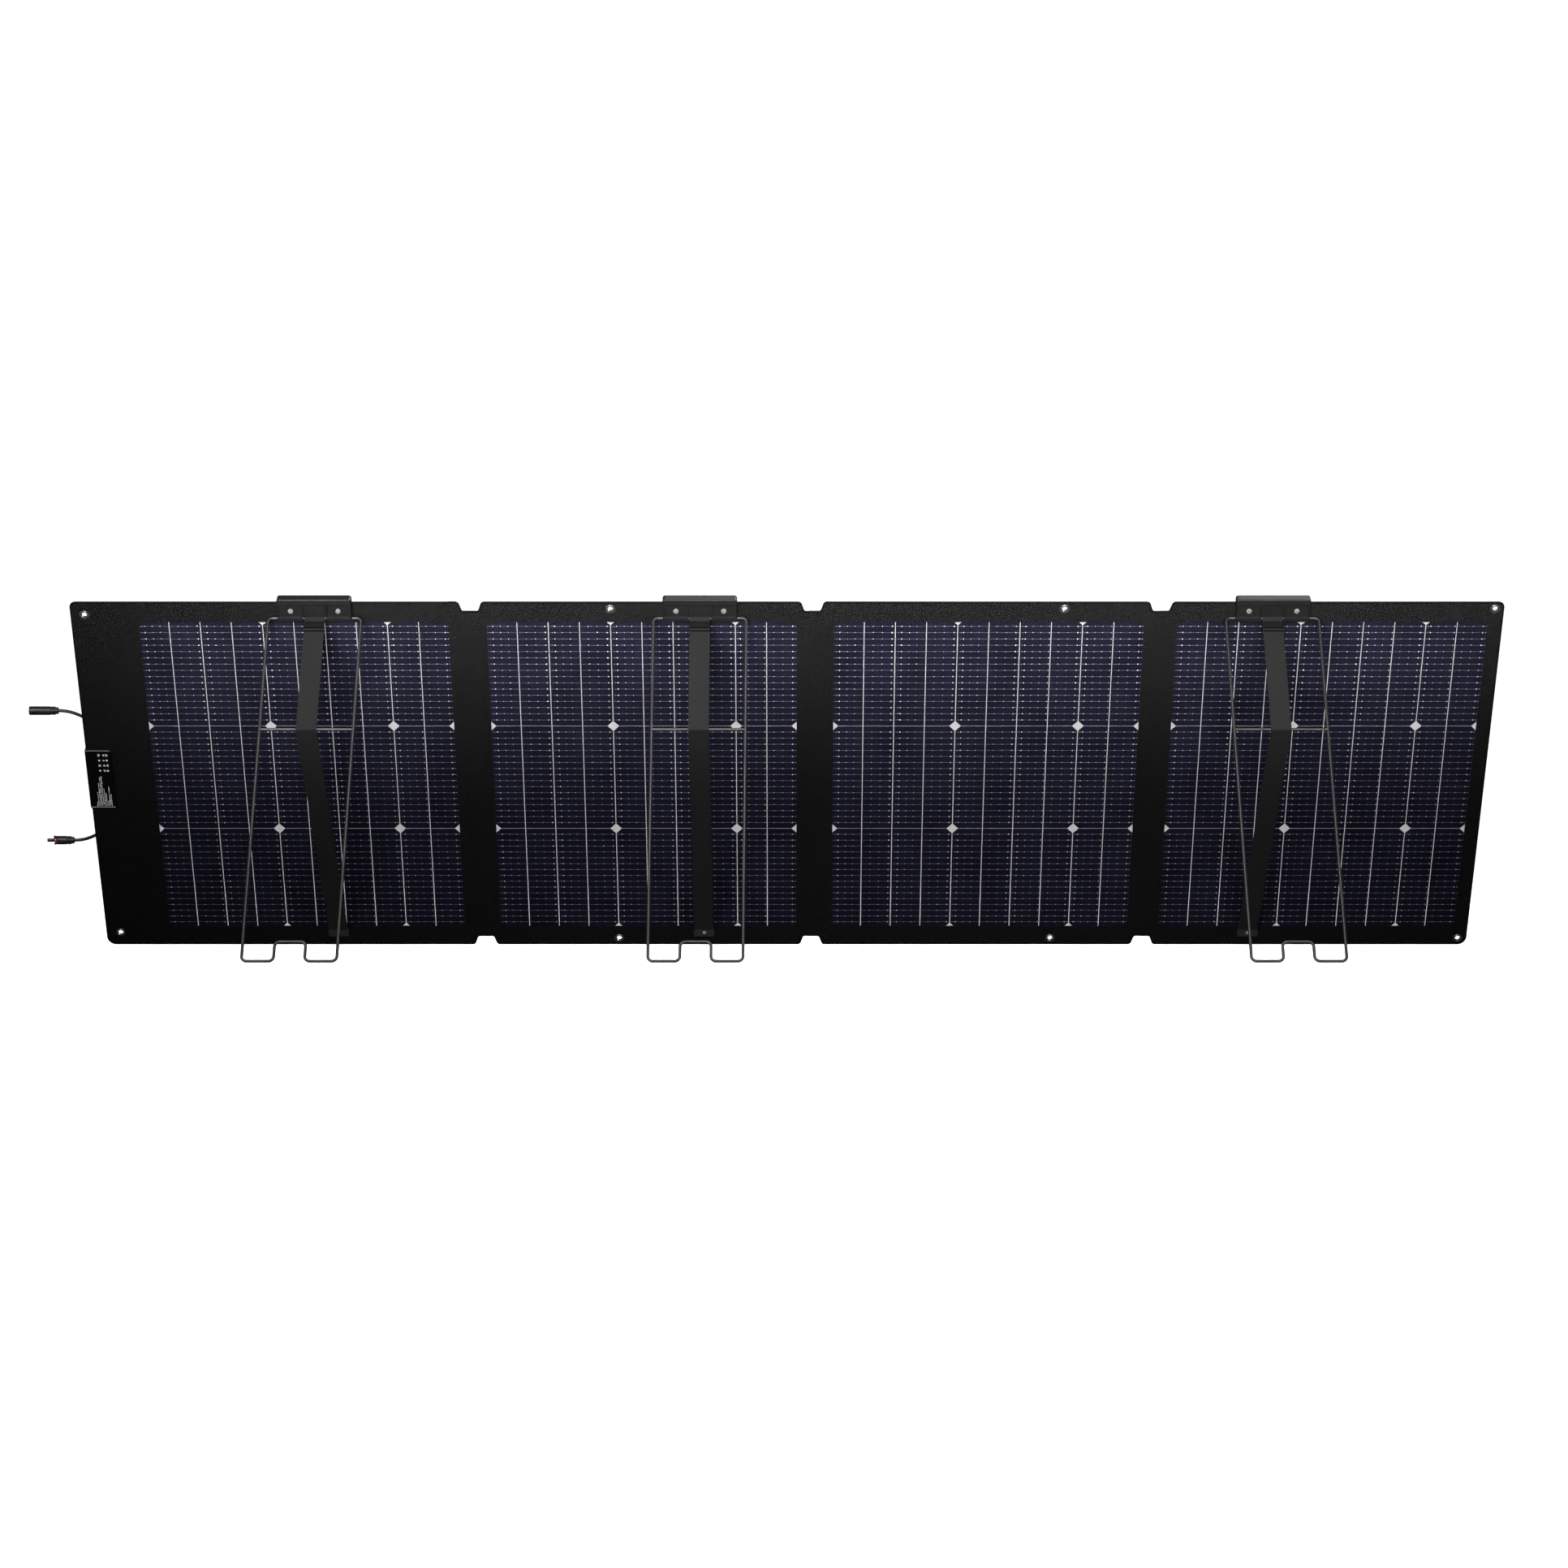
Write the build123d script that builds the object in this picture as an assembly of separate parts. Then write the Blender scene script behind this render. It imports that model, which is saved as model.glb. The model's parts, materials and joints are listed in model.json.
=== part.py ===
"""A folding four-panel solar array for camping, standing open on three wire stands.

Millimetres, +Z up, the ground at Z = 0. Seen from behind, +X is to the right, the rear
faces with the stands look towards -Y and the sun faces look towards +Y and up.

Most pieces are drawn flat, in the array's own plane: x across the array, y down the
slope from the top edge, and z through its thickness, towards the sun. Each stand is
drawn in the plane of its wire: x across, y down the leg from the hinge rod, and z
towards the array.
"""

from build123d import *
from math import cos, radians, sin, tan
import os

# Whole array
PANEL_HEIGHT = 618.0
LEFT_EDGE = -1080.8
RIGHT_EDGE = 1078.7
TILT = 31.2  # of the array, from the vertical
LEG_TILT = 30.0  # of the stands, from the vertical
TOP_CORNER_RADIUS = 9.0
BOTTOM_CORNER_RADIUS = 14.0

# Layers, measured from the middle of the thickness
SHEET = 0.9  # half the thickness of the clear laminate
CELL = 0.2  # half the thickness of a cell
FACE = 1.5  # half the thickness of the whole panel
SKIN_INSET = 1.0  # the cloth stops this far inside the laminate's edge

# Hinge lines of the three seams: each seam folds on both of its sides
SEAMS = {"a": (-507.5, -473.5), "b": (35.0, 60.0), "c": (564.5, 574.5)}
HINGE_GAP = 0.15
NOTCHES = (-478.5, 37.5, 562.5)
NOTCH_MOUTH = 35.0
NOTCH_FLOOR = 24.5
NOTCH_DEPTH = 16.0
NOTCH_FLOOR_RADIUS = 3.5
NOTCH_MOUTH_RADIUS = 6.5
RIBBON_WIDTH = 9.0
RIBBON_HALF = 0.15
RIBBON_PLACES = (120.0, 309.0, 498.0)

# Cells: ten strips by three rows in each panel, and the window in the cloth that shows them
WINDOW_CENTRES = (-745.5, -220.2, 304.1, 822.2)
STRIPS = 10
STRIP_PITCH = 47.1
STRIP_WIDTH = 45.5
ROWS = 3
ROW_PITCH = 185.0
ROW_HEIGHT = 183.75
CELLS_TOP = 31.9
WINDOW_TOP = 34.0
WINDOW_HEIGHT = 547.8
WINDOW_CHAMFER = 8.0

# Eyelets: two in each panel, at (x, y)
EYELETS = (
    ((-1059.5, 21.5), (-1057.9, 594.6)),
    ((-267.0, 11.5), (-267.0, 605.5)),
    ((417.0, 11.5), (417.0, 605.5)),
    ((1065.0, 11.2), (1064.4, 605.4)),
)
EYELET_HOLE = 4.2
EYELET_BARREL = 4.8
EYELET_FLANGE = 6.6
EYELET_PROUD = 0.9
EYELET_ROOM = 0.05  # round the barrel, in the layers that it passes through

# Stands, by the number of their panel
STANDS = {1: -712.0, 2: -132.0, 4: 730.0}
ROD_DROP = 24.8  # of the hinge rod, below the top edge
ROD_LEVEL = -6.0  # of the hinge rod, behind the array's middle
WIRE_RADIUS = 2.25
ROD_WIDTH = 140.0
FOOT_WIDTH = 136.0
FOOT_NOTCH_WIDTH = 44.5
FOOT_NOTCH_HEIGHT = 31.0
WIRE_BEND = 7.5
BUTT_GAP = 0.4
CROSSBAR_DROP = 195.0
CROSSBAR_RADIUS = 1.9

# Brackets that hold the hinge rods
BRACKET_WIDTH = 112.0
BRACKET_TOP = -8.5
BRACKET_BOTTOM = 28.5
REAR_SHELL_DEPTH = 8.5
FRONT_SHELL_DEPTH = 4.0
BAY_DEPTH = 2.8
BAY_RIM = 0.4  # chamfer round each bay
BAY_TOP = 1.6
BAY_BOTTOM = 21.6
BAY_CENTRES = (-36.2, 0.0, 36.2)
BAY_WIDTH = 34.0
ROD_BORE = 2.33
STRAP_CUTOUT = 35.0
SCREW_SPACING = 71.6
SCREW_LINE = 12.6
SCREW_RADIUS = 1.75
SCREW_HEAD_RADIUS = 4.2
SCREW_HEAD_HEIGHT = 1.8
SCREW_WELL_RADIUS = 5.2
SCREW_WELL_DEPTH = 1.0

# Straps that stop the stands from spreading
STRAP_WIDTH = 30.5
STRAP = 1.2
LOOP_INNER = 2.3
STITCHED_END = 16.0
ANCHOR_TOP = 588.0
ANCHOR_HEIGHT = 14.0
ANCHOR_THICK = 1.0
RIVET_RADIUS = 3.2
RIVET_SHANK = 1.5
RIVET_HEAD = 1.2

# Junction box: a housing on the sun side and a plate on the rear, joined round the edge
BOX_LEFT = -1082.4
BOX_RIGHT = -1041.9
BOX_TOP = 258.4
BOX_BOTTOM = 362.1
BOX_HEIGHT = 17.5
BOX_WALL = 2.0
PLATE_THICK = 1.4
RIM_WIDTH = 2.4
RIM_HEIGHT = 0.7
RIM_CHAMFER = 0.5
GASKET = 0.4
GLAND_LENGTH = 4.0
GLAND_RADIUS = 5.0

# Cables, by their routes in the array's plane
CABLE_RADIUS = 2.5
CABLE_X = -1059.0
CABLE_LEVEL = 10.0
SOCKET_ROUTE = (
    (CABLE_X, 254.4),
    (CABLE_X, 231.0),
    (-1073.5, 210.4),
    (-1092.5, 199.5),
    (-1108.7, 195.0),
    (-1118.0, 195.0),
)
PLUG_ROUTE = (
    (CABLE_X, 366.1),
    (CABLE_X, 394.0),
    (-1073.2, 414.4),
    (-1091.9, 424.9),
    (-1108.0, 429.3),
    (-1117.0, 429.3),
)

# Connectors, measured from the end of the cable
NUT_LENGTH = 5.0
NUT_RADIUS = 5.3
BODY_RADIUS = 6.7
GRIP_LENGTH = 9.0
SOCKET_LENGTH = 44.5
SOCKET_MOUTH = 4.6
SOCKET_DEPTH = 22.0
PLUG_BODY_LENGTH = 20.0
ARM_LENGTH = 6.5
PIN_TUBE_RADIUS = 2.7
PIN_TUBE_LENGTH = 17.0
PIN_TUBE_BORE = 1.7
SEAL_RADIUS = 3.7
SEAL_LENGTH = 1.7

ARRAY = Plane(
    origin=(0, 0, PANEL_HEIGHT * cos(radians(TILT)) + SHEET * sin(radians(TILT))),
    x_dir=(1, 0, 0),
    z_dir=(0, cos(radians(TILT)), sin(radians(TILT))),
)
EDGES = (LEFT_EDGE, *SEAMS["a"], *SEAMS["b"], *SEAMS["c"], RIGHT_EDGE)

pieces = {}  # node name to its solids, in place
cord_pieces = []


def block(x0, x1, y0, y1, z0, z1):
    """A box between two corners."""
    return Pos((x0 + x1) / 2, (y0 + y1) / 2, (z0 + z1) / 2) * Box(x1 - x0, y1 - y0, z1 - z0)


def post(x, y, z0, z1, radius):
    """A round post through the array's thickness."""
    return Pos(x, y, (z0 + z1) / 2) * Cylinder(radius, z1 - z0)


def rod_along_x(x0, x1, y, z, radius):
    """A round rod across the array."""
    return Pos((x0 + x1) / 2, y, z) * Rot(0, 90, 0) * Cylinder(radius, x1 - x0)


def keep(name, shapes, plane=ARRAY, on_cord=False):
    """Put a node's solids in place and remember them."""
    shapes = shapes if isinstance(shapes, (list, tuple)) else [shapes]
    solids = [solid for shape in shapes for solid in shape.solids()]
    pieces[name] = [plane.location * solid for solid in solids]
    if on_cord:
        cord_pieces.append(name)


def panel_span(number):
    """The left and right edges of a panel, clear of its hinge lines."""
    left, right = EDGES[2 * number - 2], EDGES[2 * number - 1]
    left += HINGE_GAP if number > 1 else 0
    right -= HINGE_GAP if number < 4 else 0
    return left, right


def notch_cutters(z0, z1):
    """The tapered notches in the top and bottom edges at the seams, with all their corners rounded."""
    cutters = []
    mouth, floor, shoulder = NOTCH_MOUTH / 2, NOTCH_FLOOR / 2, NOTCH_MOUTH / 2 + 2 * NOTCH_MOUTH_RADIUS
    for centre in NOTCHES:
        for edge, way in ((0.0, 1), (PANEL_HEIGHT, -1)):
            half = [
                (shoulder, edge - way),
                (shoulder, edge),
                (mouth, edge),
                (floor, edge + way * NOTCH_DEPTH),
            ]
            outline = [(centre + x, y) for x, y in half]
            outline += [(centre - x, y) for x, y in reversed(half)]
            face = make_face(Polyline(*outline, close=True))
            corners = face.vertices()
            deep = [corner for corner in corners if abs(corner.Y - edge) > NOTCH_DEPTH / 2]
            face = fillet(deep, NOTCH_FLOOR_RADIUS)
            lip = [
                corner
                for corner in face.vertices()
                if abs(corner.Y - edge) < 0.01 and abs(abs(corner.X - centre) - mouth) < 0.01
            ]
            face = fillet(lip, NOTCH_MOUTH_RADIUS)
            cutters.append(Pos(0, 0, z0) * extrude(face, z1 - z0, dir=(0, 0, 1)))
    return cutters


def outline_slab(number, z0, z1, inset=0.0):
    """A panel's outline, with its outer corners rounded and the seam notches cut out."""
    left, right = panel_span(number)
    left += inset if number == 1 else 0
    right -= inset if number == 4 else 0
    slab = block(left, right, inset, PANEL_HEIGHT - inset, z0, z1)
    side = {1: left, 4: right}.get(number)
    if side is not None:
        for place, radius in ((0, TOP_CORNER_RADIUS), (-1, BOTTOM_CORNER_RADIUS)):
            corners = [edge for edge in slab.edges().filter_by(Axis.Z) if abs(edge.center().X - side) < 0.1]
            slab = fillet(ShapeList(corners).sort_by(Axis.Y)[place], radius)
    for cutter in notch_cutters(z0 - 1, z1 + 1):
        slab -= cutter
    return slab


def window(number, z0, z1):
    """The clear opening over a panel's cells, with chamfered corners."""
    centre = WINDOW_CENTRES[number - 1]
    half = STRIPS * STRIP_PITCH / 2
    opening = block(centre - half, centre + half, WINDOW_TOP, WINDOW_TOP + WINDOW_HEIGHT, z0, z1)
    return chamfer(opening.edges().filter_by(Axis.Z), WINDOW_CHAMFER)


def through_holes(number):
    """Everything that passes through a panel: eyelets, bracket screws and the strap rivet."""
    eyelet = EYELET_BARREL + EYELET_ROOM
    holes = [post(x, y, -FACE - 1, FACE + 1, eyelet) for x, y in EYELETS[number - 1]]
    if number in STANDS:
        centre = STANDS[number]
        for side in (-1, 1):
            x = centre + side * SCREW_SPACING / 2
            holes.append(post(x, SCREW_LINE, -FACE - 1, FACE + 1, SCREW_RADIUS))
        holes.append(post(centre, ANCHOR_TOP + ANCHOR_HEIGHT / 2, -FACE - 1, FACE + 1, RIVET_SHANK))
    return holes


def make_panel(number):
    """One panel: clear laminate, the cells inside it, two cloth skins and the eyelets."""
    name = f"panel_{number}"
    centre = WINDOW_CENTRES[number - 1]
    first = centre - (STRIPS - 1) * STRIP_PITCH / 2
    half = STRIPS * STRIP_PITCH / 2
    height = (ROWS - 1) * ROW_PITCH + ROW_HEIGHT
    recess = block(centre - half, centre + half, CELLS_TOP, CELLS_TOP + height, -CELL, CELL + 1)
    holes = through_holes(number)
    carrier = outline_slab(number, -SHEET, CELL) - recess
    cover = outline_slab(number, CELL, SHEET)
    rear_skin = outline_slab(number, -FACE, -SHEET, SKIN_INSET) - window(number, -FACE - 1, 0)
    front_skin = outline_slab(number, SHEET, FACE, SKIN_INSET) - window(number, 0, FACE + 1)
    for hole in holes:
        carrier -= hole
        cover -= hole
        rear_skin -= hole
        front_skin -= hole
    keep(f"{name}_laminate", [carrier, cover])
    keep(f"{name}_rear_skin", rear_skin)
    keep(f"{name}_front_skin", front_skin)

    strips = []
    for row in range(ROWS):
        top = CELLS_TOP + row * ROW_PITCH
        for column in range(STRIPS):
            x = first + column * STRIP_PITCH
            strips.append(
                block(x - STRIP_WIDTH / 2, x + STRIP_WIDTH / 2, top, top + ROW_HEIGHT, -CELL, CELL)
            )
    keep(f"{name}_cells", strips)

    eyelets = []
    for x, y in EYELETS[number - 1]:
        barrel = post(x, y, -FACE - EYELET_PROUD, FACE + EYELET_PROUD, EYELET_BARREL)
        rear = post(x, y, -FACE - EYELET_PROUD, -FACE, EYELET_FLANGE)
        front = post(x, y, FACE, FACE + EYELET_PROUD, EYELET_FLANGE)
        rear = fillet(rear.edges().sort_by(Axis.Z)[0], EYELET_PROUD * 0.8)
        front = fillet(front.edges().sort_by(Axis.Z)[-1], EYELET_PROUD * 0.8)
        hole = post(x, y, -FACE - 3, FACE + 3, EYELET_HOLE)
        eyelets.append(barrel + rear + front - hole)
    keep(f"{name}_eyelets", eyelets)


def make_seam(letter):
    """The cloth between two panels, with three bus ribbons running through it."""
    left, right = SEAMS[letter]
    cloth = block(
        left + HINGE_GAP, right - HINGE_GAP, SKIN_INSET, PANEL_HEIGHT - SKIN_INSET, -FACE, FACE
    )
    for cutter in notch_cutters(-FACE - 1, FACE + 1):
        cloth -= cutter
    ribbons = []
    for y in RIBBON_PLACES:
        y0, y1 = y - RIBBON_WIDTH / 2, y + RIBBON_WIDTH / 2
        ribbon = block(left + HINGE_GAP, right - HINGE_GAP, y0, y1, -RIBBON_HALF, RIBBON_HALF)
        ribbons.append(ribbon)
        cloth -= ribbon
    keep(f"seam_{letter}_cloth", cloth)
    keep(f"seam_{letter}_bus_ribbons", ribbons)


def screw_places(centre):
    """The x of a bracket's two screws."""
    return [centre + side * SCREW_SPACING / 2 for side in (-1, 1)]


def bay_rim(x, outer):
    """The bevel round the mouth of a bay, as a shape to cut away."""
    mouth = Plane(origin=(x, (BAY_TOP + BAY_BOTTOM) / 2, outer))
    width, height = BAY_WIDTH, BAY_BOTTOM - BAY_TOP
    wide = mouth * Rectangle(width + 2 * BAY_RIM, height + 2 * BAY_RIM)
    narrow = mouth.offset(BAY_RIM) * Rectangle(width, height)
    return loft([wide, narrow])


def make_rear_bracket(number, centre):
    """The rear half of a bracket: three bays, a lip over the top edge and the rod's tunnel."""
    half = BRACKET_WIDTH / 2
    outer = -FACE - REAR_SHELL_DEPTH
    shell = block(centre - half, centre + half, BRACKET_TOP, BRACKET_BOTTOM, outer, -FACE)
    upright = shell.edges().filter_by(Axis.Z).group_by(Axis.Y)[0]
    shell = fillet(upright, 4.0)
    shell = fillet(shell.faces().sort_by(Axis.Z)[0].edges(), 1.4)
    lip = block(centre - half + 4, centre + half - 4, BRACKET_TOP, -0.4, -FACE - 0.5, FACE - 0.05)
    shell += lip
    for bay in BAY_CENTRES:
        x = centre + bay
        floor = outer + BAY_DEPTH
        pocket = block(x - BAY_WIDTH / 2, x + BAY_WIDTH / 2, BAY_TOP, BAY_BOTTOM, outer - 1, floor)
        shell -= fillet(pocket.edges().filter_by(Axis.Z), 0.8)
        shell -= bay_rim(x, outer)
    x0, x1 = centre - STRAP_CUTOUT / 2, centre + STRAP_CUTOUT / 2
    shell -= block(x0, x1, BAY_BOTTOM - 1.0, BRACKET_BOTTOM + 1, outer - 1, -FACE)
    shell -= rod_along_x(centre - half - 1, centre + half + 1, ROD_DROP, ROD_LEVEL, ROD_BORE)
    for x in screw_places(centre):
        floor = outer + BAY_DEPTH
        shell -= post(x, SCREW_LINE, floor - 1, floor + SCREW_WELL_DEPTH, SCREW_WELL_RADIUS)
        shell -= post(x, SCREW_LINE, floor, FACE, SCREW_RADIUS)
    keep(f"stand_{number}_rear_bracket", shell)


def make_front_bracket(number, centre):
    """The front half of a bracket, clamped to the sun side by the screws."""
    half = BRACKET_WIDTH / 2
    outer = FACE + FRONT_SHELL_DEPTH
    shell = block(centre - half, centre + half, BRACKET_TOP, BRACKET_BOTTOM, FACE, outer)
    shell = fillet(shell.edges().filter_by(Axis.Z), 4.0)
    shell = fillet(shell.faces().sort_by(Axis.Z)[-1].edges(), 1.2)
    for x in screw_places(centre):
        shell -= post(x, SCREW_LINE, FACE - 1, FACE + 2.8, SCREW_RADIUS)
    keep(f"stand_{number}_front_bracket", shell)


def make_screws(number, centre):
    """Two pan-head screws, from the rear shell through the panel into the front shell."""
    seat = -FACE - REAR_SHELL_DEPTH + BAY_DEPTH + SCREW_WELL_DEPTH
    screws = []
    for x in screw_places(centre):
        head = post(x, SCREW_LINE, seat - SCREW_HEAD_HEIGHT, seat, SCREW_HEAD_RADIUS)
        head = fillet(head.edges().sort_by(Axis.Z)[0], 1.1)
        socket = extrude(RegularPolygon(1.7, 6), 1.2, dir=(0, 0, 1))
        head -= Pos(x, SCREW_LINE, seat - SCREW_HEAD_HEIGHT) * socket
        screws.append(head + post(x, SCREW_LINE, seat - 0.1, FACE + 2.6, SCREW_RADIUS))
    keep(f"stand_{number}_screws", screws)


def rod_centre(centre):
    """Where a stand's hinge rod is, before the array is centred."""
    return ARRAY.from_local_coords(Vector(centre, ROD_DROP, ROD_LEVEL))


def stand_plane(centre):
    """The plane of a stand's wire."""
    return Plane(
        origin=rod_centre(centre),
        x_dir=(1, 0, 0),
        z_dir=(0, cos(radians(LEG_TILT)), -sin(radians(LEG_TILT))),
    )


def leg_length(centre):
    """From the hinge rod to the centre of the foot's wire, so that its underside is on the ground."""
    return (rod_centre(centre).Z - WIRE_RADIUS) / cos(radians(LEG_TILT))


def make_wire_frame(number, centre):
    """One bent wire: hinge rod, two legs and two foot loops, with a crossbar welded in."""
    length = leg_length(centre)
    top, foot, notch = ROD_WIDTH / 2, FOOT_WIDTH / 2, FOOT_NOTCH_WIDTH / 2
    raised = length - FOOT_NOTCH_HEIGHT
    path = FilletPolyline(
        (BUTT_GAP / 2, 0),
        (top, 0),
        (foot, length),
        (notch, length),
        (notch, raised),
        (-notch, raised),
        (-notch, length),
        (-foot, length),
        (-top, 0),
        (-BUTT_GAP / 2, 0),
        radius=WIRE_BEND,
    )
    section = Plane(origin=path @ 0, z_dir=path % 0) * Circle(WIRE_RADIUS)
    wire = sweep(section, path=path)
    reach = top + (foot - top) * CROSSBAR_DROP / length
    crossbar = rod_along_x(-reach, reach, CROSSBAR_DROP, 0, CROSSBAR_RADIUS)
    keep(f"stand_{number}_wire_frame", wire + crossbar, stand_plane(centre))


def strap_bend():
    """Where the strap's centre line turns, on the outside of the crossbar."""
    return CROSSBAR_DROP + CROSSBAR_RADIUS + STRAP / 2 + 0.3, -(CROSSBAR_RADIUS + STRAP / 2 + 0.1)


def strip_between(start, end, thickness):
    """A flat strip across the array, between two points of its side view."""
    (y0, z0), (y1, z1) = start, end
    along = Vector(0, y1 - y0, z1 - z0)
    middle = Plane(origin=(0, (y0 + y1) / 2, (z0 + z1) / 2), x_dir=(1, 0, 0), z_dir=along.normalized())
    return middle.location * Box(STRAP_WIDTH, thickness, along.length)


def make_straps(number, centre):
    """The stop strap: looped on the rod, over the crossbar, and down to the array's foot."""
    plane = stand_plane(centre)
    bend_y, bend_z = strap_bend()
    outside = LOOP_INNER + STRAP
    loop = rod_along_x(-STRAP_WIDTH / 2, STRAP_WIDTH / 2, 0, 0, outside)
    tail = block(-STRAP_WIDTH / 2, STRAP_WIDTH / 2, LOOP_INNER, STITCHED_END, -STRAP, STRAP)
    upper = loop + tail + strip_between((STITCHED_END - 2, 0), (bend_y, bend_z), STRAP)
    upper -= rod_along_x(-STRAP_WIDTH, STRAP_WIDTH, 0, 0, LOOP_INNER)
    keep(f"stand_{number}_strap_upper", upper, plane)

    bend = plane.from_local_coords(Vector(0, bend_y, bend_z + STRAP / 2 + 0.2))
    start = ARRAY.to_local_coords(bend)
    end = (ANCHOR_TOP - 0.3, -FACE - 0.1 - STRAP / 2)
    lower = strip_between((start.Y, start.Z), end, STRAP)
    keep(f"stand_{number}_strap_lower", Pos(centre, 0, 0) * lower)

    half = STRAP_WIDTH / 2
    bottom = ANCHOR_TOP + ANCHOR_HEIGHT
    back = -FACE - ANCHOR_THICK
    patch = block(centre - half, centre + half, ANCHOR_TOP, bottom, back, -FACE)
    middle = ANCHOR_TOP + ANCHOR_HEIGHT / 2
    patch -= post(centre, middle, back - 1, 0, RIVET_SHANK)
    head = post(centre, middle, back - RIVET_HEAD, back, RIVET_RADIUS)
    head = fillet(head.edges().sort_by(Axis.Z)[0], 0.9)
    tail = post(centre, middle, FACE, FACE + RIVET_HEAD, RIVET_RADIUS)
    rivet = head + post(centre, middle, back, FACE, RIVET_SHANK) + tail
    keep(f"stand_{number}_strap_anchor", [patch, rivet])


def make_junction_box():
    """The junction box on the left edge, with its terminals, diodes and cable glands."""
    rear = -FACE - GASKET
    left, right = BOX_LEFT, BOX_RIGHT
    seal = block(LEFT_EDGE + SKIN_INSET, right - 1.5, BOX_TOP + 1.5, BOX_BOTTOM - 1.5, rear, -FACE)
    inner = block(LEFT_EDGE + 5, right - 5, BOX_TOP + 5, BOX_BOTTOM - 5, rear - 1, 0)
    keep("junction_box_gasket", seal - inner)

    plate = block(left, right, BOX_TOP, BOX_BOTTOM, rear - PLATE_THICK, rear)
    wrap = block(left, LEFT_EDGE - 0.1, BOX_TOP, BOX_BOTTOM, rear - PLATE_THICK, FACE)
    rim = block(left, right, BOX_TOP, BOX_BOTTOM, rear - PLATE_THICK - RIM_HEIGHT, rear - PLATE_THICK)
    field = block(
        left - 1,
        right - RIM_WIDTH,
        BOX_TOP + RIM_WIDTH,
        BOX_BOTTOM - RIM_WIDTH,
        rear - PLATE_THICK - RIM_HEIGHT - 1,
        rear - PLATE_THICK,
    )
    plate = plate + wrap + (rim - field)
    corners = [edge for edge in plate.edges().filter_by(Axis.Z) if abs(edge.center().X - right) < 0.1]
    plate = fillet(corners, 3.0)
    rim_top = plate.faces().sort_by(Axis.Z)[0]
    keep("junction_box_rear_plate", chamfer(rim_top.edges(), RIM_CHAMFER))

    top = FACE + BOX_HEIGHT
    housing = block(left, right, BOX_TOP, BOX_BOTTOM, FACE, top)
    uprights = housing.edges().filter_by(Axis.Z).group_by(Axis.X)[-1]
    housing = fillet(uprights, 3.0)
    housing = fillet(housing.faces().sort_by(Axis.Z)[-1].edges(), 2.0)
    cavity = block(
        left + BOX_WALL,
        right - BOX_WALL,
        BOX_TOP + BOX_WALL,
        BOX_BOTTOM - BOX_WALL,
        FACE - 1,
        top - BOX_WALL,
    )
    housing -= cavity
    middle = (BOX_TOP + BOX_BOTTOM) / 2
    lead_hole = Pos(CABLE_X, middle, CABLE_LEVEL) * Rot(90, 0, 0)
    housing -= lead_hole * Cylinder(CABLE_RADIUS, BOX_BOTTOM - BOX_TOP + 2)
    keep("junction_box_housing", housing)

    glands = []
    for end, way in ((BOX_TOP, -1), (BOX_BOTTOM, 1)):
        spot = Pos(CABLE_X, end + way * GLAND_LENGTH / 2, CABLE_LEVEL) * Rot(90, 0, 0)
        gland = spot * Cylinder(GLAND_RADIUS, GLAND_LENGTH)
        glands.append(chamfer(gland.edges().sort_by(Axis.Y)[0 if way < 0 else -1], 1.2))
    keep("junction_box_cable_glands", glands)

    terminals = []
    for y in (BOX_TOP + 14, middle, BOX_BOTTOM - 14):
        terminals.append(block(right - 16, right - 6, y - 5, y + 5, FACE + 0.1, FACE + 1.1))
    for y in (BOX_TOP + 32, BOX_BOTTOM - 32):
        diode = Pos(right - 11, y, FACE + 3.4) * Rot(90, 0, 0) * Cylinder(2.2, 14)
        terminals.append(diode)
    keep("junction_box_terminals_and_diodes", terminals)


def cable_path(route):
    """Straight runs joined by arcs as large as the runs allow, along a route."""
    points = [Vector(x, y, CABLE_LEVEL) for x, y in route]
    radii = []
    for before, point, after in zip(points, points[1:], points[2:]):
        turn = radians((point - before).get_angle(after - point))
        run = min((point - before).length, (after - point).length)
        radii.append(0.45 * run / tan(turn / 2))
    print("cable radii", [round(radius, 1) for radius in radii])
    return FilletPolyline(points, radius=radii)


def make_cable(name, route):
    """A short cable from its gland to its connector."""
    path = cable_path(route)
    section = Plane(origin=path @ 0, z_dir=path % 0) * Circle(CABLE_RADIUS)
    tube = sweep(section, path=path)
    ideal = path.length * 3.14159265 * CABLE_RADIUS**2
    print(name, "length", round(path.length, 1), "volume", round(tube.volume / ideal, 4), "of ideal")
    keep(name, tube, on_cord=True)


def along_connector(route, start, end, radius):
    """A round solid on the axis of the connector at the end of a route."""
    x, y = route[-1]
    return rod_along_x(x - end, x - start, y, CABLE_LEVEL, radius)


def ribbed_nut(route):
    """A cable nut with grip grooves."""
    x, y = route[-1]
    nut = along_connector(route, 0, NUT_LENGTH, NUT_RADIUS)
    nut = chamfer(nut.edges().sort_by(Axis.X)[-1], 0.8)
    for step in range(10):
        groove = Pos(x - NUT_LENGTH / 2, y, CABLE_LEVEL) * Rot(36 * step, 0, 0)
        nut -= groove * Pos(0, NUT_RADIUS, 0) * Box(NUT_LENGTH - 1.6, 0.9, 0.9)
    return nut


def grip_flats(route, body):
    """Cut shallow grip flats round the rear of a connector."""
    x, y = route[-1]
    middle = x - NUT_LENGTH - GRIP_LENGTH / 2
    for step in range(6):
        flat = Pos(middle, y, CABLE_LEVEL) * Rot(60 * step + 30, 0, 0)
        body -= flat * Pos(0, BODY_RADIUS, 0) * Box(GRIP_LENGTH - 2, 1.6, 4.5)
    return body


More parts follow.
